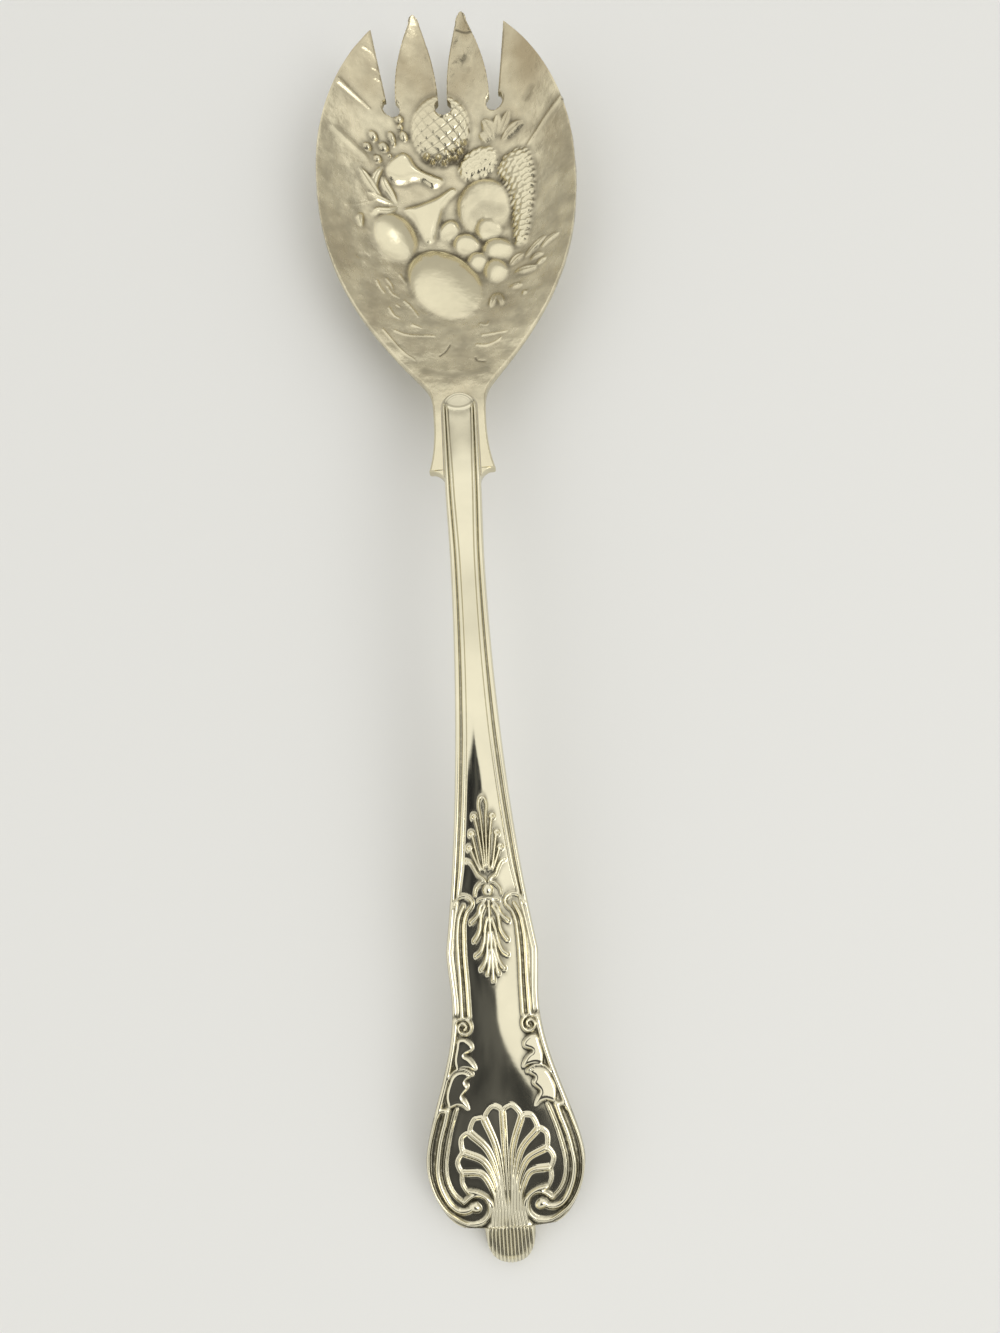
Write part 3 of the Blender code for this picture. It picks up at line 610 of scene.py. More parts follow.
WORN_POLISH = 0.5  # what is left of the polish on the apple and the pineapple's left
WELTED = 2  # the first domes have a welt round their foot
WELT = 0.4
PEARS = (
    ((-12.2, 195.0), (-11.5, 196.8), (-10.0, 198.6), (-8.6, 199.5), (-7.3, 198.9), (-6.4, 197.3),
     (-4.7, 196.0), (-2.7, 195.2), (-0.9, 194.1), (-1.6, 192.9), (-3.2, 192.3), (-5.2, 193.6),
     (-6.9, 193.6), (-8.4, 192.8), (-10.2, 192.5), (-11.6, 193.3)),
    ((-8.9, 186.9), (-6.1, 188.5), (-2.4, 190.3), (0.6, 192.2), (1.6, 191.3), (-0.1, 189.3),
     (-1.3, 187.3), (-1.9, 184.9), (-2.6, 181.8), (-3.5, 179.7), (-4.9, 179.5), (-6.0, 181.5),
     (-7.2, 184.1)))
MULBERRY = ((13.5, 193.8), (14.3, 189.5), (14.3, 184.0), (13.4, 176.2))
MULBERRY_HEIGHT = 1.15
MULBERRY_GRAIN = (1.4, 0.75, 0.75)  # pitch and height of pebbles, and how much flatter the middle is
RASPBERRY_GRAIN = (1.6, 0.4, 0.6)
PEBBLE_MEAN = 0.6
RASPBERRY = (6.3, 196.4, 4.2, 3.4, 24, 1.1)
PINEAPPLE = (-0.8, 204.2, 5.9, 7.1, -8, 1.35)
SCALE = (2.8, 2.5)  # pineapple scale, across and along
GROOVE_HALF = 0.075  # half width of its grooves, as a share of a scale
GROOVE_DEPTH = 0.45
GROOVE_DARK = 0.7
CROWN = (  # place and radius
    (-3.9, 198.9, 0.8), (-2.8, 197.9, 0.6), (-1.6, 198.6, 0.75), (-0.5, 197.6, 0.55), (0.6, 198.4, 0.7),
    (1.9, 198.4, 0.65), (2.9, 199.6, 0.8), (1.5, 199.8, 0.55), (0.1, 199.6, 0.6), (3.6, 201.2, 0.7),
    (2.3, 201.0, 0.5))
CURRANTS = (  # place, half width and half length
    (-14.1, 201.6, 0.8, 1.1), (-15.3, 199.1, 0.8, 0.9), (-13.5, 197.1, 0.8, 0.9),
    (-12.2, 199.9, 0.95, 1.1), (-10.6, 202.3, 0.7, 1.2), (-8.2, 202.9, 0.8, 1.1),
    (-8.9, 206.1, 0.9, 0.8), (-8.8, 204.6, 0.6, 0.6), (-11.2, 198.3, 0.4, 0.5), (-10.3, 201.0, 0.4, 0.5))
LEAVES = (  # half width, and path from root to tip
    (1.0, (-10.1, 187.9), (-11.4, 190.1), (-12.3, 191.8), (-12.7, 193.9)),
    (0.75, (-13.0, 188.4), (-14.3, 190.6), (-14.0, 193.2), (-12.4, 196.2)),
    (1.1, (-12.8, 188.3), (-14.7, 190.6), (-17.0, 194.4)),
    (0.8, (-9.8, 187.7), (-11.9, 186.1), (-13.9, 185.5), (-14.9, 183.8)),
    (0.7, (-10.4, 187.9), (-13.0, 188.3), (-15.8, 189.2)),
    (0.7, (-16.9, 180.4), (-17.2, 182.4), (-16.8, 184.2)),
    (1.3, (9.9, 200.3), (9.2, 202.8), (7.6, 205.4)),
    (0.9, (10.4, 200.8), (10.8, 205.6)),
    (1.0, (11.0, 200.8), (13.0, 205.4)),
    (1.3, (11.0, 199.7), (13.6, 201.4), (15.9, 201.7)),
    (0.8, (9.0, 200.2), (6.9, 203.0)),
    (0.9, (10.7, 170.6), (12.2, 171.9), (13.8, 172.9)),
    (0.7, (13.5, 171.3), (15.9, 173.3), (18.4, 175.0)),
    (0.6, (16.7, 172.2), (18.5, 173.4), (20.6, 174.0)),
    (0.6, (14.6, 170.4), (16.0, 170.8), (17.4, 170.7)),
    (1.0, (11.5, 168.6), (13.6, 168.3), (16.0, 168.0)),
    (0.5, (15.6, 168.4), (16.6, 168.9), (17.8, 169.6)),
    (0.6, (10.3, 165.1), (11.6, 164.8), (13.0, 164.7)),
    (0.5, (12.6, 162.4), (13.6, 162.6)),
    (0.7, (7.9, 164.6), (7.2, 162.0), (6.6, 160.4)),
    (0.7, (8.0, 164.6), (8.6, 162.4), (9.0, 160.4)),
)
LEAF_HEIGHT = 0.6
LEAF_VEIN = 0.32
VEIN_HALF = 0.2
LEAF_BELLY = 0.55  # place of a leaf's widest part, from root to tip
LEAF_TAPER = 0.75
LEAF_ROUND = 0.6
LEAF_FADE = 0.3
LINES = (
    ((-14.3, 168.0), (-13.7, 166.3), (-12.9, 165.0)), ((-12.6, 169.0), (-11.7, 167.5), (-11.3, 165.8)),
    ((-12.4, 167.0), (-11.5, 165.1), (-10.1, 164.1)), ((-9.4, 163.4), (-8.1, 161.8), (-6.8, 159.2)),
    ((-12.1, 161.1), (-11.2, 159.3), (-10.2, 158.6)), ((-10.1, 170.5), (-9.2, 168.6), (-8.9, 167.9)),
    ((-10.7, 162.2), (-10.1, 161.6)), ((-7.9, 156.9), (-6.3, 156.2)), ((-17.0, 182.8), (-16.7, 181.1)),
    ((-11.0, 155.1), (-8.7, 154.2), (-3.8, 154.0)), ((-13.1, 155.1), (-9.6, 149.9), (-7.5, 147.9)),
    ((4.5, 156.4), (5.8, 155.8), (6.2, 156.6)), ((4.8, 153.3), (9.3, 153.4)),
    ((3.6, 150.9), (5.5, 150.5), (7.4, 151.2), (8.2, 152.1)),
    ((-13.8, 188.1), (-17.2, 185.9), (-19.7, 184.5)), ((-14.7, 217.5), (-13.2, 217.0), (-12.2, 215.9)),
    ((-13.4, 214.6), (-12.1, 214.1), (-11.1, 212.8)), ((-13.0, 212.9), (-11.7, 212.4)))
SCRATCHES = (
    ((-1.1, 151.4), (-1.9, 149.9), (-3.0, 148.7)), ((3.3, 147.6), (3.7, 146.8), (5.0, 146.4)),
    ((3.6, 222.1), (5.6, 221.2), (7.3, 221.2)))
DENTS = (
    ((5.4, 216.9), (4.6, 215.8), (5.6, 215.0)), ((-17.3, 173.4), (-16.2, 173.7)),
    ((17.2, 207.6), (16.3, 206.4)))
CREASES = (
    ((-19.6, 209.9), (-17.0, 208.5), (-14.4, 206.9)), ((22.8, 202.2), (19.8, 200.2), (16.3, 196.9)))
SOFT_CREASE = ((-21.0, 200.4), (-19.0, 199.2), (-15.8, 196.8))
APPLE_EYE = ((5.6, 184.6), (6.8, 185.4), (8.0, 185.3), (9.0, 184.5), (9.9, 184.4))
HEEL_ARC = ((-5.9, 145.2), (-4.0, 144.3), (-1.7, 143.8), (0.3, 143.7), (2.7, 144.0), (5.1, 144.6))
BOWL_RIDGES = (  # paths, half width, height and share of the width at their end
    (CREASES, 0.7, 0.34, 0.4),
    (LINES, 0.22, 0.24, 0.6),
)
BOWL_GROOVES = (  # paths, half width, depth and darkness
    (SCRATCHES, 0.24, 0.12, 0.9),
    (DENTS, 1.0, 0.12, 0.0),
    # the darkness along the apple's crease is painted shade
    ((APPLE_EYE,), 1.7, 0.22, 0.25),
    # the darkness along the heel arc, where the shank meets the hollow, is painted shade
    ((HEEL_ARC,), 1.0, 0.05, 0.35),
)
TINE_TARNISH = 0.4
TARNISH_START = LENGTH - 20.0
TARNISH_BLEND = 9.0
TARNISH = (  # place, half width, half length and strength of brown patches
    (17.5, 212.5, 6.5, 11.0, 1.0), (5.6, 222.0, 2.8, 4.0, 0.9), (21.0, 197.0, 3.5, 7.0, 0.6),
    (-20.0, 173.0, 3.0, 9.0, 0.5), (9.0, 162.0, 5.0, 6.0, 0.3))
WAVES = (  # radians per millimetre across and along, and phase, of the beaten surface
    (1.1, 0.3, 0.0), (-0.4, 0.9, 1.3), (0.7, -1.2, 2.1), (0.2, 1.7, 0.7), (-1.6, -0.5, 0.4),
    (0.5, 0.4, 2.9))
WAVE_HEIGHT = 0.016
HOLLOW_DEPTH = 0.6  # share of the relief that shows as hollows on the outer side
REST_PATCH = 9.0  # radius left plain where the belly rests
PATCH_BLEND = 3.0


def pebbles(a, b, grain, middle):
    """Height of rounded pebbles on a staggered, wavering grid, flatter in the middle of a berry."""
    pitch, height, flatter = grain
    a = a + 0.22 * pitch * np.sin(2.3 * b / pitch) + 0.12 * pitch * np.sin(5.1 * b / pitch + 1.0)
    b = b + 0.18 * pitch * np.sin(1.9 * a / pitch + 0.7)
    row_step, radius = 0.87 * pitch, 0.55 * pitch
    row = np.round(b / row_step)
    a = a + 0.5 * pitch * np.mod(row, 2)
    da, db = a - pitch * np.round(a / pitch), b - row_step * row
    pebble = unit(1.0 - (da ** 2 + db ** 2) / radius ** 2)
    return height * (pebble - PEBBLE_MEAN) * (1.0 - flatter * middle)


def lattice(a, b, half_a, half_b):
    """Grooves between the pineapple's scales, 0 to 1, closer together towards its edge."""
    across = half_a * np.arcsin(np.clip(a / half_a, -1.0, 1.0)) / SCALE[0]
    along = half_b * np.arcsin(np.clip(b / half_b, -1.0, 1.0)) / SCALE[1]
    away = [np.abs(t - np.round(t)) for t in (across + along, across - along)]
    return np.exp(-(np.minimum(*away) / GROOVE_HALF) ** 2)


def fruit_relief(relief):
    """Smooth fruit. Returns the points of the mulberry."""
    for outline in PEARS:
        relief.pillow(outline, height=0.85, rim=1.9, fullness=0.5)
    for x, s, half_a, half_b, turn, *_ in DOMES[:WELTED]:
        relief.dome(x, s, half_a + WELT, half_b + WELT, turn, height=0.2, fullness=0.4)
    for *form, lean in DOMES:
        relief.dome(*form, fullness=0.58, lean=lean)
    for form in (PINEAPPLE, RASPBERRY):
        relief.dome(*form, fullness=0.5, lean=0.2)
    relief.ridge(SOFT_CREASE, half=0.9, height=0.25)
    bare = relief.height.copy()
    relief.ridge(MULBERRY, 3.4, MULBERRY_HEIGHT, ends=(1.0, 0.35), fullness=0.6)
    mulberry = np.flatnonzero(relief.height > bare)
    relief.height = blurred(relief.grid("height"), (1, 1)).ravel()
    relief.polish = np.maximum(unit(relief.height / POLISHED_FROM), ease((NECK_AT - relief.s) / NECK_BLEND))
    apple, *_ = relief.dome(*APPLE[:5], 0.0)
    relief.polish[apple] *= WORN_POLISH
    return mulberry


def berry_relief(relief, mulberry):
    """Scales and crown of the pineapple, and the pebbles of the two berries."""
    spot, a, b, share = relief.dome(*PINEAPPLE[:5], 0.0)
    half_a, half_b = PINEAPPLE[2:4]
    unworn = ease(a / half_a + 0.4)
    grooves = mix(0.45, 1.0, unworn) * lattice(a, b, half_a, half_b) * share ** 0.2
    relief.polish[spot] *= mix(WORN_POLISH, 1.0, unworn)
    relief.height[spot] -= GROOVE_DEPTH * grooves
    relief.recess[spot] = GROOVE_DARK * grooves
    for x, s, radius in CROWN:
        relief.dome(x, s, radius, 0.85 * radius, turn=40, height=1.6)
    spot, a, b, share = relief.dome(*RASPBERRY[:5], 0.0)
    relief.height[spot] += pebbles(a, b, RASPBERRY_GRAIN, share)
    x, s = relief.x[mulberry], relief.s[mulberry]
    middle = unit(relief.height[mulberry] / MULBERRY_HEIGHT)
    relief.height[mulberry] += pebbles(x, s, MULBERRY_GRAIN, middle)


def bowl_relief(x, s):
    """Embossed fruit, leaves and vines on the hollow side of the bowl."""
    relief = Relief(x, s)
    mulberry = fruit_relief(relief)
    for paths, half, height, end in BOWL_RIDGES:
        for path in paths:
            relief.ridge(path, half, height, ends=(1.0, end))
    for half, *path in LEAVES:
        relief.leaf(path, half, rubbed=path[0][0] < 0.0)
    for form in CURRANTS:
        relief.dome(*form, turn=20, height=0.8)
    for paths, half, depth, dark in BOWL_GROOVES:
        for path in paths:
            relief.groove(path, half, depth, dark)
    berry_relief(relief, mulberry)
    beaten = sum(np.sin(across * relief.x + along * relief.s + phase) for across, along, phase in WAVES)
    relief.height += WAVE_HEIGHT * beaten * (1.0 - relief.polish)
    return relief


def tine_outline():
    """Outline of what is cut away between and beyond the tines, right half then left half."""
    root = LENGTH - SLOT_LENGTH
    throat_angle = math.acos(SLOT_WIDTH / 2 / ROOT_RADIUS)
    throat = root + ROOT_RADIUS * math.sin(throat_angle)
    tip = LENGTH - MID_TIP_RADIUS
    beyond = LENGTH + 12.0

    def arc(x, s, radius, start, stop, count):
        a = np.linspace(start, stop, count + 1)
        return np.column_stack((x + radius * np.cos(a), s + radius * np.sin(a)))

    def flank(start_x, stop_x):
        t = np.linspace(0.0, 1.0, 14)[1:-1]
        return np.column_stack((mix(start_x, stop_x, t ** MID_TINE_POWER), mix(throat, tip, t)))

    inner = flank(SLOT_WIDTH / 2, MID_TIP_OFFSET - MID_TIP_RADIUS)
    outer = flank(SLOT_PITCH - SLOT_WIDTH / 2, MID_TIP_OFFSET + MID_TIP_RADIUS)
    end = (SLOT_PITCH + SLOT_WIDTH / 2 + OUTER_TINE_LEAN * (beyond - throat), beyond)
    right = np.vstack((
        arc(0.0, root, ROOT_RADIUS, -math.pi / 2, throat_angle, 14), inner,
        arc(MID_TIP_OFFSET, tip, MID_TIP_RADIUS, math.pi, 0.0, 10), outer[::-1],
        arc(SLOT_PITCH, root, ROOT_RADIUS, math.pi - throat_angle, 2 * math.pi + throat_angle, 28), end))
    left = right[:0:-1] * (-1.0, 1.0)
    return np.vstack((right, left))


# Meshes
SIDE_STEPS = 3  # points up each side
ORNAMENT_END = 72.0  # stations are close together up to here
CUT_REACH = (-20.0, 40.0)  # the cutter's lower and upper end
PLAIN_POLISH = 0.3  # on the bowl's back and edges
SHARP_FROM = math.radians(50)
BEAD_RADIUS = 0.16
BEAD_SIDES = 10
BEAD_CLEAR = 0.02  # from the tongue's edge and the shank


def to_row(x, s, z):
    return np.stack((x, s - LENGTH / 2, z), axis=-1) * MM


def add_object(name, data):
    made = bpy.data.objects.new(name, data)
    scene.collection.objects.link(made)
    return made


def tube_mesh(name, points):
    """A mesh through a stack of closed rings of points, with a cap at each end."""
    rows, columns, _ = points.shape
    i, j = np.meshgrid(np.arange(rows - 1) * columns, np.arange(columns), indexing="ij")
    k = (j + 1) % columns
    sides = np.stack((i + j, i + k, i + columns + k, i + columns + j), axis=-1)
    first = list(range(columns))[::-1]
    last = [(rows - 1) * columns + c for c in range(columns)]
    mesh = bpy.data.meshes.new(name)
    mesh.from_pydata(points.reshape(-1, 3).tolist(), [], sides.reshape(-1, 4).tolist() + [first, last])
    return mesh


def make_piece(name, points, material, **shares):
    """A smooth mesh piece. Each share, such as polish, 0 to 1, is given on its front and elsewhere."""
    mesh = tube_mesh(name, points)
    for share, (front, elsewhere) in shares.items():
        values = np.full(points.shape[:2], elsewhere, np.float32)
        values[:, :front.shape[1]] = front
        attribute = mesh.attributes.new(share, "FLOAT", "POINT")
        attribute.data.foreach_set("value", values.ravel())
    mesh.materials.append(material)
    mesh.shade_smooth()
    return add_object(name, mesh)


def rows_across(stations, half, columns, start=-1.0):
    """Points across each section: place from edge to edge, -1 to 1, then x and s."""
    u = np.linspace(start, -start, columns)[None, :]
    return u, u * half, np.repeat(stations[:, None], columns, axis=1)


def rings(front, back):
    """Closed sections from front rows and back rows of points, joined by upright sides."""
    t = np.linspace(0.0, 1.0, SIDE_STEPS + 2)[None, 1:-1, None]
    right = mix(front[:, -1:, :], back[:, :1, :], t)
    left = mix(back[:, -1:, :], front[:, :1, :], t)
    return np.hstack((front, right, back, left))


def sunk(height, cells, depth):
    """How far points lie below those around them, as a share of a depth, 0 to 1."""
    return unit((blurred(height, (cells, cells)) - height) / depth)


def make_handle(material):
    nose_from = TONGUE_NOSE - 1.0
    tip = TAB_LENGTH * (1.0 - np.cos(math.pi / 2 * np.linspace(0.0, 1.0, 40)))
    end = np.arange(TAB_LENGTH + 0.12, ORNAMENT_END, step=0.15)
    stem = np.arange(ORNAMENT_END, BUTT_AT, step=0.4)
    butt = [BUTT_AT - 0.01, BUTT_AT]
    tongue = np.arange(BUTT_AT + 0.3, nose_from, step=0.3)
    nose = mix(nose_from, TONGUE_END, np.sin(math.pi / 2 * np.linspace(0.0, 1.0, 34)))
    stations = np.hstack((tip, end, stem, butt, tongue, nose))
    half = handle_half(stations)[:, None]

    _, x, s = rows_across(stations, half, columns=201)
    relief = handle_relief(x, s)
    height = relief.softened()
    edge = np.where(s > BUTT_AT, TONGUE_EDGE, HANDLE_EDGE)
    drop = corner(outline_gap(np.abs(x), s), edge) + corner(s, TIP_ROUND)
    across = x / handle_half(np.minimum(s, TONGUE_NOSE))
    z = front_line(s) - FRONT_CROWN * across ** 2 + height - drop
    front = to_row(x, s, np.maximum(z, 0.0))
    low = sunk(height, cells=4, depth=0.16)
    in_shell = np.hypot(x / SHELL_SPAN[1], (s - SHELL_SPAN[0]) / SHELL_SPAN[2]) < 1.0
    low = np.maximum(np.where(in_shell, SHELL_OXIDE * low, low), relief.grid("recess"))

    u, x, s = rows_across(stations, half, columns=41, start=1.0)
    on_bar = s < BUTT_AT
    rise = corner((1.0 - np.abs(u)) * half, HANDLE_EDGE) * on_bar
    z = front_line(s) - handle_thickness(s) + BACK_CROWN * u ** 2 * on_bar + rise
    points = rings(front, to_row(x, s, np.maximum(z, 0.0)))
    polish = relief.grid("polish")
    return make_piece("handle_silverwork", points, material, recess=(low, 0.0), polish=(polish, 1.0))


def cut(piece, outline):
    """Cut an upright prism over an outline out of a piece, for good."""
    x, s = outline.T
    prism = np.stack([to_row(x, s, np.full_like(x, z)) for z in CUT_REACH])
    cutter = add_object("tine_cutter", tube_mesh("tine_cutter", prism))
    modifier = piece.modifiers.new("cut", "BOOLEAN")
    modifier.solver = "MANIFOLD"
    modifier.operation = "DIFFERENCE"
    modifier.object = cutter
    bpy.context.view_layer.update()
    graph = bpy.context.evaluated_depsgraph_get()
    old = piece.data
    piece.data = bpy.data.meshes.new_from_object(piece.evaluated_get(graph))
    piece.modifiers.remove(modifier)
    bpy.data.meshes.remove(old)
    bpy.data.objects.remove(cutter)


def raised_rows(surface, x, s, lift, height):
    """Points a height off a lifted surface, along its normal, and none below the ground."""
    across, along = slopes(surface, x, s)
    normal = np.stack((-across, -along, np.ones_like(across)))
    normal = normal / np.linalg.norm(normal, axis=0)
    x, s, z = np.stack((x, s, surface(x, s) + lift)) + normal * height
    return to_row(x, s, np.maximum(z, 0.0))


def make_bowl(material):
    corner_at = BUTT_AT + SHOULDER_DROP
    shoulder = mix(BUTT_AT, corner_at, np.sin(math.pi / 2 * np.linspace(0.0, 1.0, 14)))
    shank = np.arange(corner_at + 0.02, NECK_AT + 3.0, step=0.35)
    hollow = np.arange(NECK_AT + 3.2, LENGTH + 0.75, step=0.2)
    stations = np.hstack((shoulder, shank, hollow))
    half = bowl_half(stations)[:, None]
    outline = tine_outline()

    def rounding(x, s, u):
        lean = (bowl_half(s + 0.02) - bowl_half(s - 0.02)) / 0.04
        rim = (1.0 - np.abs(u)) * half / np.hypot(1.0, lean)
        slots = np.full(x.shape, RIM_EDGE)
        near = s > LENGTH - SLOT_LENGTH - ROOT_RADIUS - RIM_EDGE
        slots[near], _ = near_path(x[near], s[near], np.vstack((outline, outline[:1])))
        return corner(np.minimum(rim, slots), RIM_EDGE)

    u, x, s = rows_across(stations, half, columns=241)
    relief = bowl_relief(x, s)
    height = relief.softened()
    front = raised_rows(bowl_inner, x, s, -rounding(x, s, u), height)
    # oxidation in hollows, with the painted shade along the apple's crease and the heel arc
    low = np.maximum(sunk(height, cells=3, depth=0.2), relief.grid("recess"))
    polish = relief.grid("polish")
    brown = TINE_TARNISH * ease((s - TARNISH_START) / TARNISH_BLEND)
    for cx, cs, half_a, half_b, strength in TARNISH:
        away = ((x - cx) / half_a) ** 2 + ((s - cs) / half_b) ** 2
        brown = np.maximum(brown, strength * np.exp(-2.0 * away))

    u, x, s = rows_across(stations, half, columns=91, start=1.0)
    relief = bowl_relief(x, s)
    hollows = blurred(relief.grid("height"), (3, 2)) * HOLLOW_DEPTH
    hollows = hollows * ease((np.hypot(x, s - BELLY_AT) - REST_PATCH) / PATCH_BLEND)
    back = raised_rows(bowl_outer, x, s, rounding(x, s, u), hollows)

    points = rings(front, back)
    bowl = make_piece(
        "bowl_silverwork", points, material,
        recess=(low, 0.0), polish=(polish, PLAIN_POLISH), tarnish=(brown, 0.0))
    cut(bowl, outline)
    bowl.data.set_sharp_from_angle(angle=SHARP_FROM)
    return bowl


def make_seam(material):
    """Bead of solder round the tongue, where it lies on the shank."""
    side = np.arange(BUTT_AT + 1.0, TONGUE_NOSE, step=0.4)
    turn = np.linspace(0.0, math.pi, 40)
    reach = TONGUE_WIDTH / 2 + BEAD_CLEAR
    path_x = np.hstack((np.full(side.size, reach), reach * np.cos(turn), np.full(side.size, -reach)))
    path_s = np.hstack((side, TONGUE_NOSE + reach * np.sin(turn), side[::-1]))
    ahead = np.column_stack((np.gradient(path_x), np.gradient(path_s)))
    ahead /= np.linalg.norm(ahead, axis=1, keepdims=True)
    a = np.linspace(0.0, 2 * math.pi, BEAD_SIDES, endpoint=False)[None, :]
    out = BEAD_RADIUS * np.cos(a)
    x = path_x[:, None] + out * ahead[:, 1:]
    s = path_s[:, None] - out * ahead[:, :1]
    z = tongue_underside(s) + BEAD_CLEAR + BEAD_RADIUS * np.sin(a)
    return make_piece("solder_seam", to_row(x, s, z), material)


# Materials

class Graph:
    """Nodes of a material or the world. A value is a socket to link, or a number or colour that holds."""

    def __init__(self, owner):
        owner.use_nodes = True
        self.tree = owner.node_tree

    def fill(self, node, values):
        for key, value in values.items():
            socket = node.inputs[key]
            if isinstance(value, bpy.types.NodeSocket):
                self.tree.links.new(value, socket)
            else:
                socket.default_value = (*value, 1.0) if socket.type == "RGBA" else value

    def add(self, kind, values=()):
        node = self.tree.nodes.new("ShaderNode" + kind)
        self.fill(node, dict(values))
        return node

    def attribute(self, name):
        node = self.add("Attribute")
        node.attribute_name = name
        return node.outputs["Fac"]

    def ramp(self, value, *stops):
        """Colour between two stops, each a place and a colour or a grey."""
        node = self.add("ValToRGB", {"Fac": value})
        for element, (place, colour) in zip(node.color_ramp.elements, stops):
            element.position = place
            element.color = (*colour, 1.0) if isinstance(colour, tuple) else (*[colour] * 3, 1.0)
        return node.outputs["Color"]

    def noise(self, place, scale, detail, stretch=(1.0, 1.0, 1.0)):
        place = self.add("Mapping", {"Vector": place, "Scale": stretch}).outputs["Vector"]
        return self.add("TexNoise", {"Vector": place, "Scale": scale, "Detail": detail}).outputs["Fac"]

    def math(self, operation, a, b, clamp=True):
        node = self.add("Math", {0: a, 1: b})
        node.operation = operation
        node.use_clamp = clamp
        return node.outputs[0]

    def mix(self, kind, factor, first, second):
        """Colours, of kind RGBA, or numbers, of kind FLOAT, mixed by a factor."""
        node = self.add("Mix")
        node.data_type = kind
        low, high, out = (6, 7, 2) if kind == "RGBA" else (2, 3, 0)
        self.fill(node, {0: factor, low: first, high: second})
        return node.outputs[out]


def scaled(colour, factor):
    return tuple(factor * c for c in colour)


def silver(name, polished, dull, warm, oxide_and_shade, roughness, patina_scale, bump):
    """Silver plate: polished where it stands proud, dull and mottled elsewhere, dark when sunk: oxidised in
    most hollows, and painted shade along the apple's crease and the heel arc.

    roughness is for polished, dull and sunk metal.
    """
    material = bpy.data.materials.new(name)
    graph = Graph(material)
    place = graph.add("TexCoord").outputs["Object"]
    polish, recess, tarnish = (graph.attribute(share) for share in ("polish", "recess", "tarnish"))

    patina = graph.noise(place, patina_scale, 6.0)
    field = graph.ramp(patina, (0.35, scaled(dull, 0.8)), (0.65, scaled(dull, 1.1)))
    cloud = graph.ramp(graph.noise(place, 0.4 * patina_scale, 4.0), (0.45, 0.0), (0.75, 0.45))
    field = graph.mix("RGBA", graph.math("ADD", cloud, tarnish), field, warm)
    proud = graph.ramp(patina, (0.3, scaled(polished, 0.93)), (0.7, polished))
    colour = graph.mix("RGBA", polish, field, proud)
    speckle = graph.noise(place, 6 * patina_scale, 3.0)
    depth = graph.math("MULTIPLY", recess, graph.math("ADD", speckle, 0.45))

    scratches = graph.noise(place, 900.0, 3.0, (1.0, 0.08, 1.0))
    wear = graph.math("MULTIPLY", patina, scratches)
    smooth, coarse, sunken = roughness
    smooth = graph.ramp(wear, (0.1, 0.75 * smooth), (0.45, 1.3 * smooth))
    coarse = graph.ramp(wear, (0.1, 0.8 * coarse), (0.45, 1.2 * coarse))
    rough = graph.mix("FLOAT", polish, coarse, smooth)

    pits = graph.noise(place, 2.2 * patina_scale, 5.0)
    strength = graph.add("MapRange", {"Value": polish, "To Min": bump, "To Max": 0.2 * bump})
    dents = graph.add("Bump", {"Strength": strength.outputs["Result"], "Distance": 0.0005, "Height": pits})
    graph.fill(graph.tree.nodes["Principled BSDF"], {
        "Metallic": 1.0,
        # the sunk colour is oxidation in most hollows, and painted shade along the apple's crease and the
        # heel arc
        "Base Color": graph.mix("RGBA", depth, colour, oxide_and_shade),
        "Roughness": graph.mix("FLOAT", depth, rough, sunken),
        "Normal": dents.outputs["Normal"],
    })
    return material


# Stage
FLOOR_COLOUR = (0.8, 0.8, 0.78)
SKY_LOW = (0.8, 0.8, 0.78)
SKY_HIGH = (1.0, 0.99, 0.96)
WALL_COLOUR = (0.56, 0.545, 0.51)
BAND_COLOUR = (0.87, 0.86, 0.83)
SCREEN_DARK = (0.02, 0.021, 0.024)
SCREEN_LIGHT = (0.105, 0.106, 0.108)
WORLD_STRENGTH = 1.06
CAMERA_AT = (4.818, 49.153, 170.466)  # x, s, z in millimetres
CAMERA_TURNS = (math.radians(75.4), -0.0183, -0.0849)  # down, to the side and roll
LENS = 27.0


def make_floor():
    bpy.ops.mesh.primitive_plane_add(size=6.0)
    floor = bpy.context.object
    floor.name = "floor"
    material = bpy.data.materials.new("floor")
    graph = Graph(material)
    look = {"Base Color": FLOOR_COLOUR, "Roughness": 0.9, "Specular IOR Level": 0.1}
    graph.fill(graph.tree.nodes["Principled BSDF"], look)
    floor.data.materials.append(material)


def make_camera():
    down, turn, roll = CAMERA_TURNS
    ahead = Vector((math.sin(turn) * math.cos(down), math.cos(turn) * math.cos(down), -math.sin(down)))
    level = Vector((math.cos(turn), -math.sin(turn), 0.0))
    upright = level.cross(ahead)
    right = math.cos(roll) * level + math.sin(roll) * upright
    up = math.cos(roll) * upright - math.sin(roll) * level
    rotation = Matrix((right, up, -ahead)).transposed().to_4x4()
    data = bpy.data.cameras.new("camera")
    data.lens = LENS
    data.sensor_width = 36.0
    data.clip_start = 0.005
    camera = add_object("camera", data)
    camera.matrix_world = Matrix.Translation(to_row(*CAMERA_AT)) @ rotation
    scene.camera = camera


def add_softbox(name, place, target, size, power):
    data = bpy.data.lights.new(name, "AREA")
    data.shape = "RECTANGLE"
    data.size, data.size_y = size
    data.energy = power
    light = add_object(name, data)
    light.location = place
    light.rotation_euler = (Vector(target) - Vector(place)).to_track_quat("-Z", "Y").to_euler()


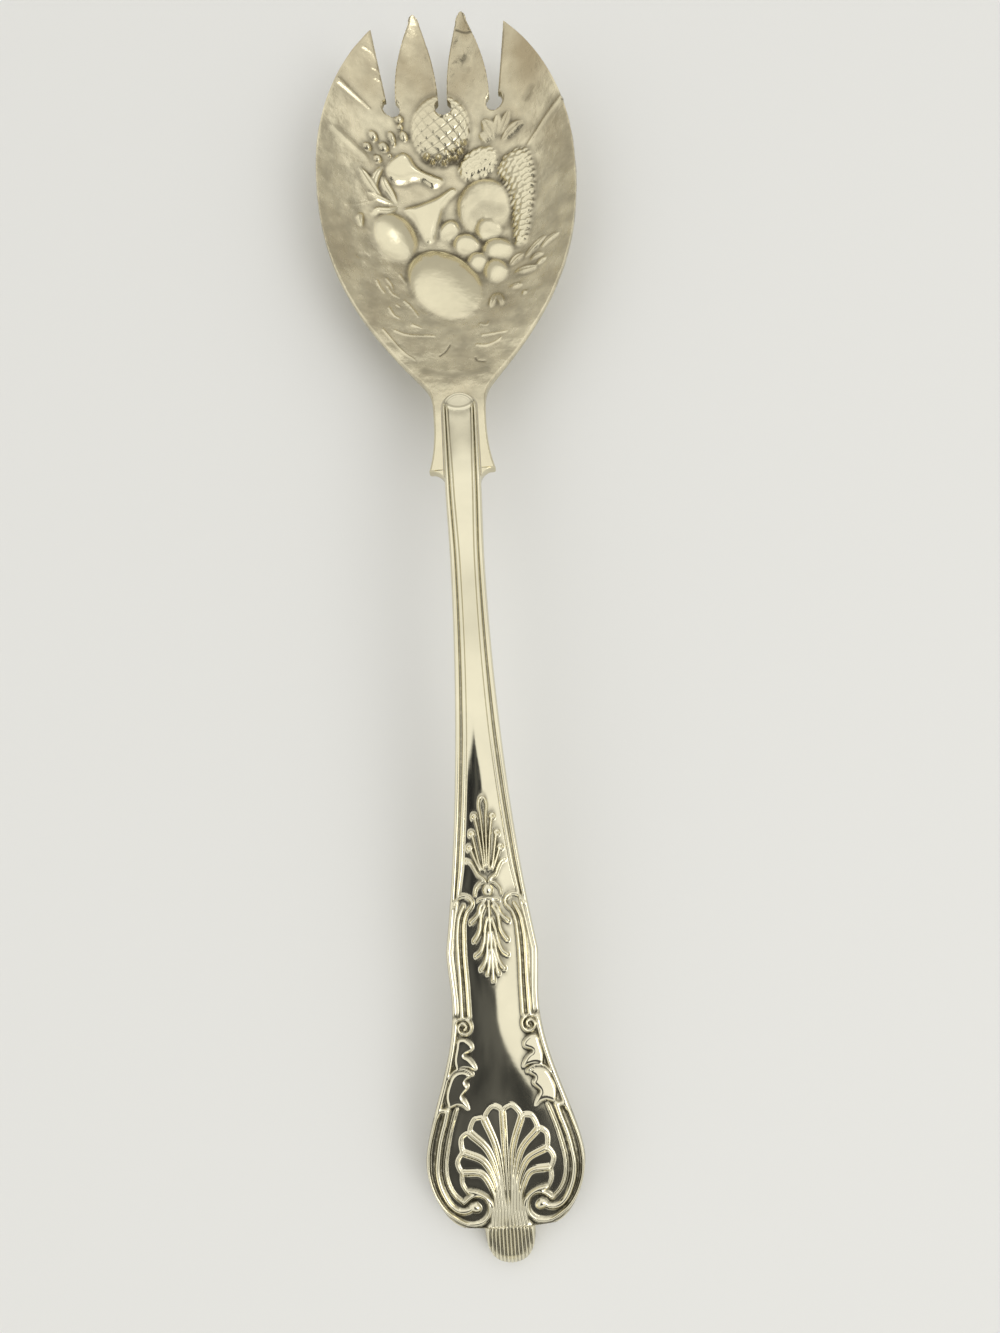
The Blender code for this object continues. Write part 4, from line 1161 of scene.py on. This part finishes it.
def make_world():
    """Soft room light: a pale sky with a dimmer band, a dim wall beyond the bowl, and a dark, mottled
    screen behind the camera's left."""
    world = bpy.data.worlds.new("studio")
    scene.world = world
    graph = Graph(world)
    direction = graph.add("TexCoord").outputs["Generated"]
    x, y, z = graph.add("SeparateXYZ", {0: direction}).outputs

    def step(value, low, high, start=0.0, stop=1.0):
        places = {"Value": value, "From Min": low, "From Max": high, "To Min": start, "To Max": stop}
        node = graph.add("MapRange", places)
        node.interpolation_type = "SMOOTHSTEP"
        return node.outputs["Result"]

    def both(a, b):
        return graph.math("MULTIPLY", a, b)

    def less(a, b):
        return graph.math("SUBTRACT", a, b, clamp=False)

    lean = less(less(x, step(y, -0.5, -0.72, 0.0, 0.34)), step(y, -0.03, -0.14, -0.09, 0.0))
    left = less(x, step(y, -0.03, -0.14, 0.2, 0.0))
    screen = both(step(y, -0.03, -0.05), step(lean, -0.01, -0.03))
    screen = both(screen, both(step(left, -0.38, -0.3), step(z, 0.2, 0.45)))
    screen = both(screen, step(y, -0.45, -0.65, 1.0, 0.965))
    wall = both(step(y, 0.08, 0.34), step(z, 0.54, 0.44))
    band = both(both(step(y, 0.08, 0.2), step(y, 0.44, 0.3)), step(z, 0.7, 0.85))
    mottled = graph.ramp(graph.noise(direction, 11.0, 3.0), (0.38, SCREEN_DARK), (0.64, SCREEN_LIGHT))
    tone = graph.ramp(z, (0.0, SKY_LOW), (0.65, SKY_HIGH))
    for share, colour in ((wall, WALL_COLOUR), (band, BAND_COLOUR), (screen, mottled)):
        tone = graph.mix("RGBA", share, tone, colour)
    graph.fill(graph.tree.nodes["Background"], {"Color": tone, "Strength": WORLD_STRENGTH})


bowl_silver = silver(
    "bowl_silver", polished=(0.78, 0.72, 0.52), dull=(0.71, 0.65, 0.47), warm=(0.4, 0.335, 0.215),
    oxide_and_shade=(0.15, 0.13, 0.09), roughness=(0.15, 0.26, 0.5), patina_scale=300.0, bump=0.3)
handle_silver = silver(
    "handle_silver", polished=(0.83, 0.78, 0.59), dull=(0.64, 0.59, 0.44), warm=(0.58, 0.52, 0.4),
    oxide_and_shade=(0.09, 0.08, 0.05), roughness=(0.06, 0.32, 0.3), patina_scale=220.0, bump=0.02)
solder = silver(
    "solder", polished=(0.7, 0.67, 0.56), dull=(0.6, 0.56, 0.44), warm=(0.55, 0.49, 0.39),
    oxide_and_shade=(0.2, 0.17, 0.12), roughness=(0.3, 0.38, 0.6), patina_scale=400.0, bump=0.2)

for piece, node, slot in (
    (make_bowl(bowl_silver), "bowl", "bowl_silver"),
    (make_handle(handle_silver), "handle", "handle_silver"),
    (make_seam(solder), "solder_film", "solder"),
):
    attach(piece, body)
    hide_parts(node)

make_floor()
make_camera()
make_world()
add_softbox("key", (0.42, 0.8, 0.62), (0.0, 0.06, 0.0), (0.12, 0.12), 0.05)
add_softbox("fill", (0.55, -0.5, 0.75), (0.0, 0.0, 0.0), (0.5, 0.5), 1.8)
scene.view_settings.view_transform = "Standard"
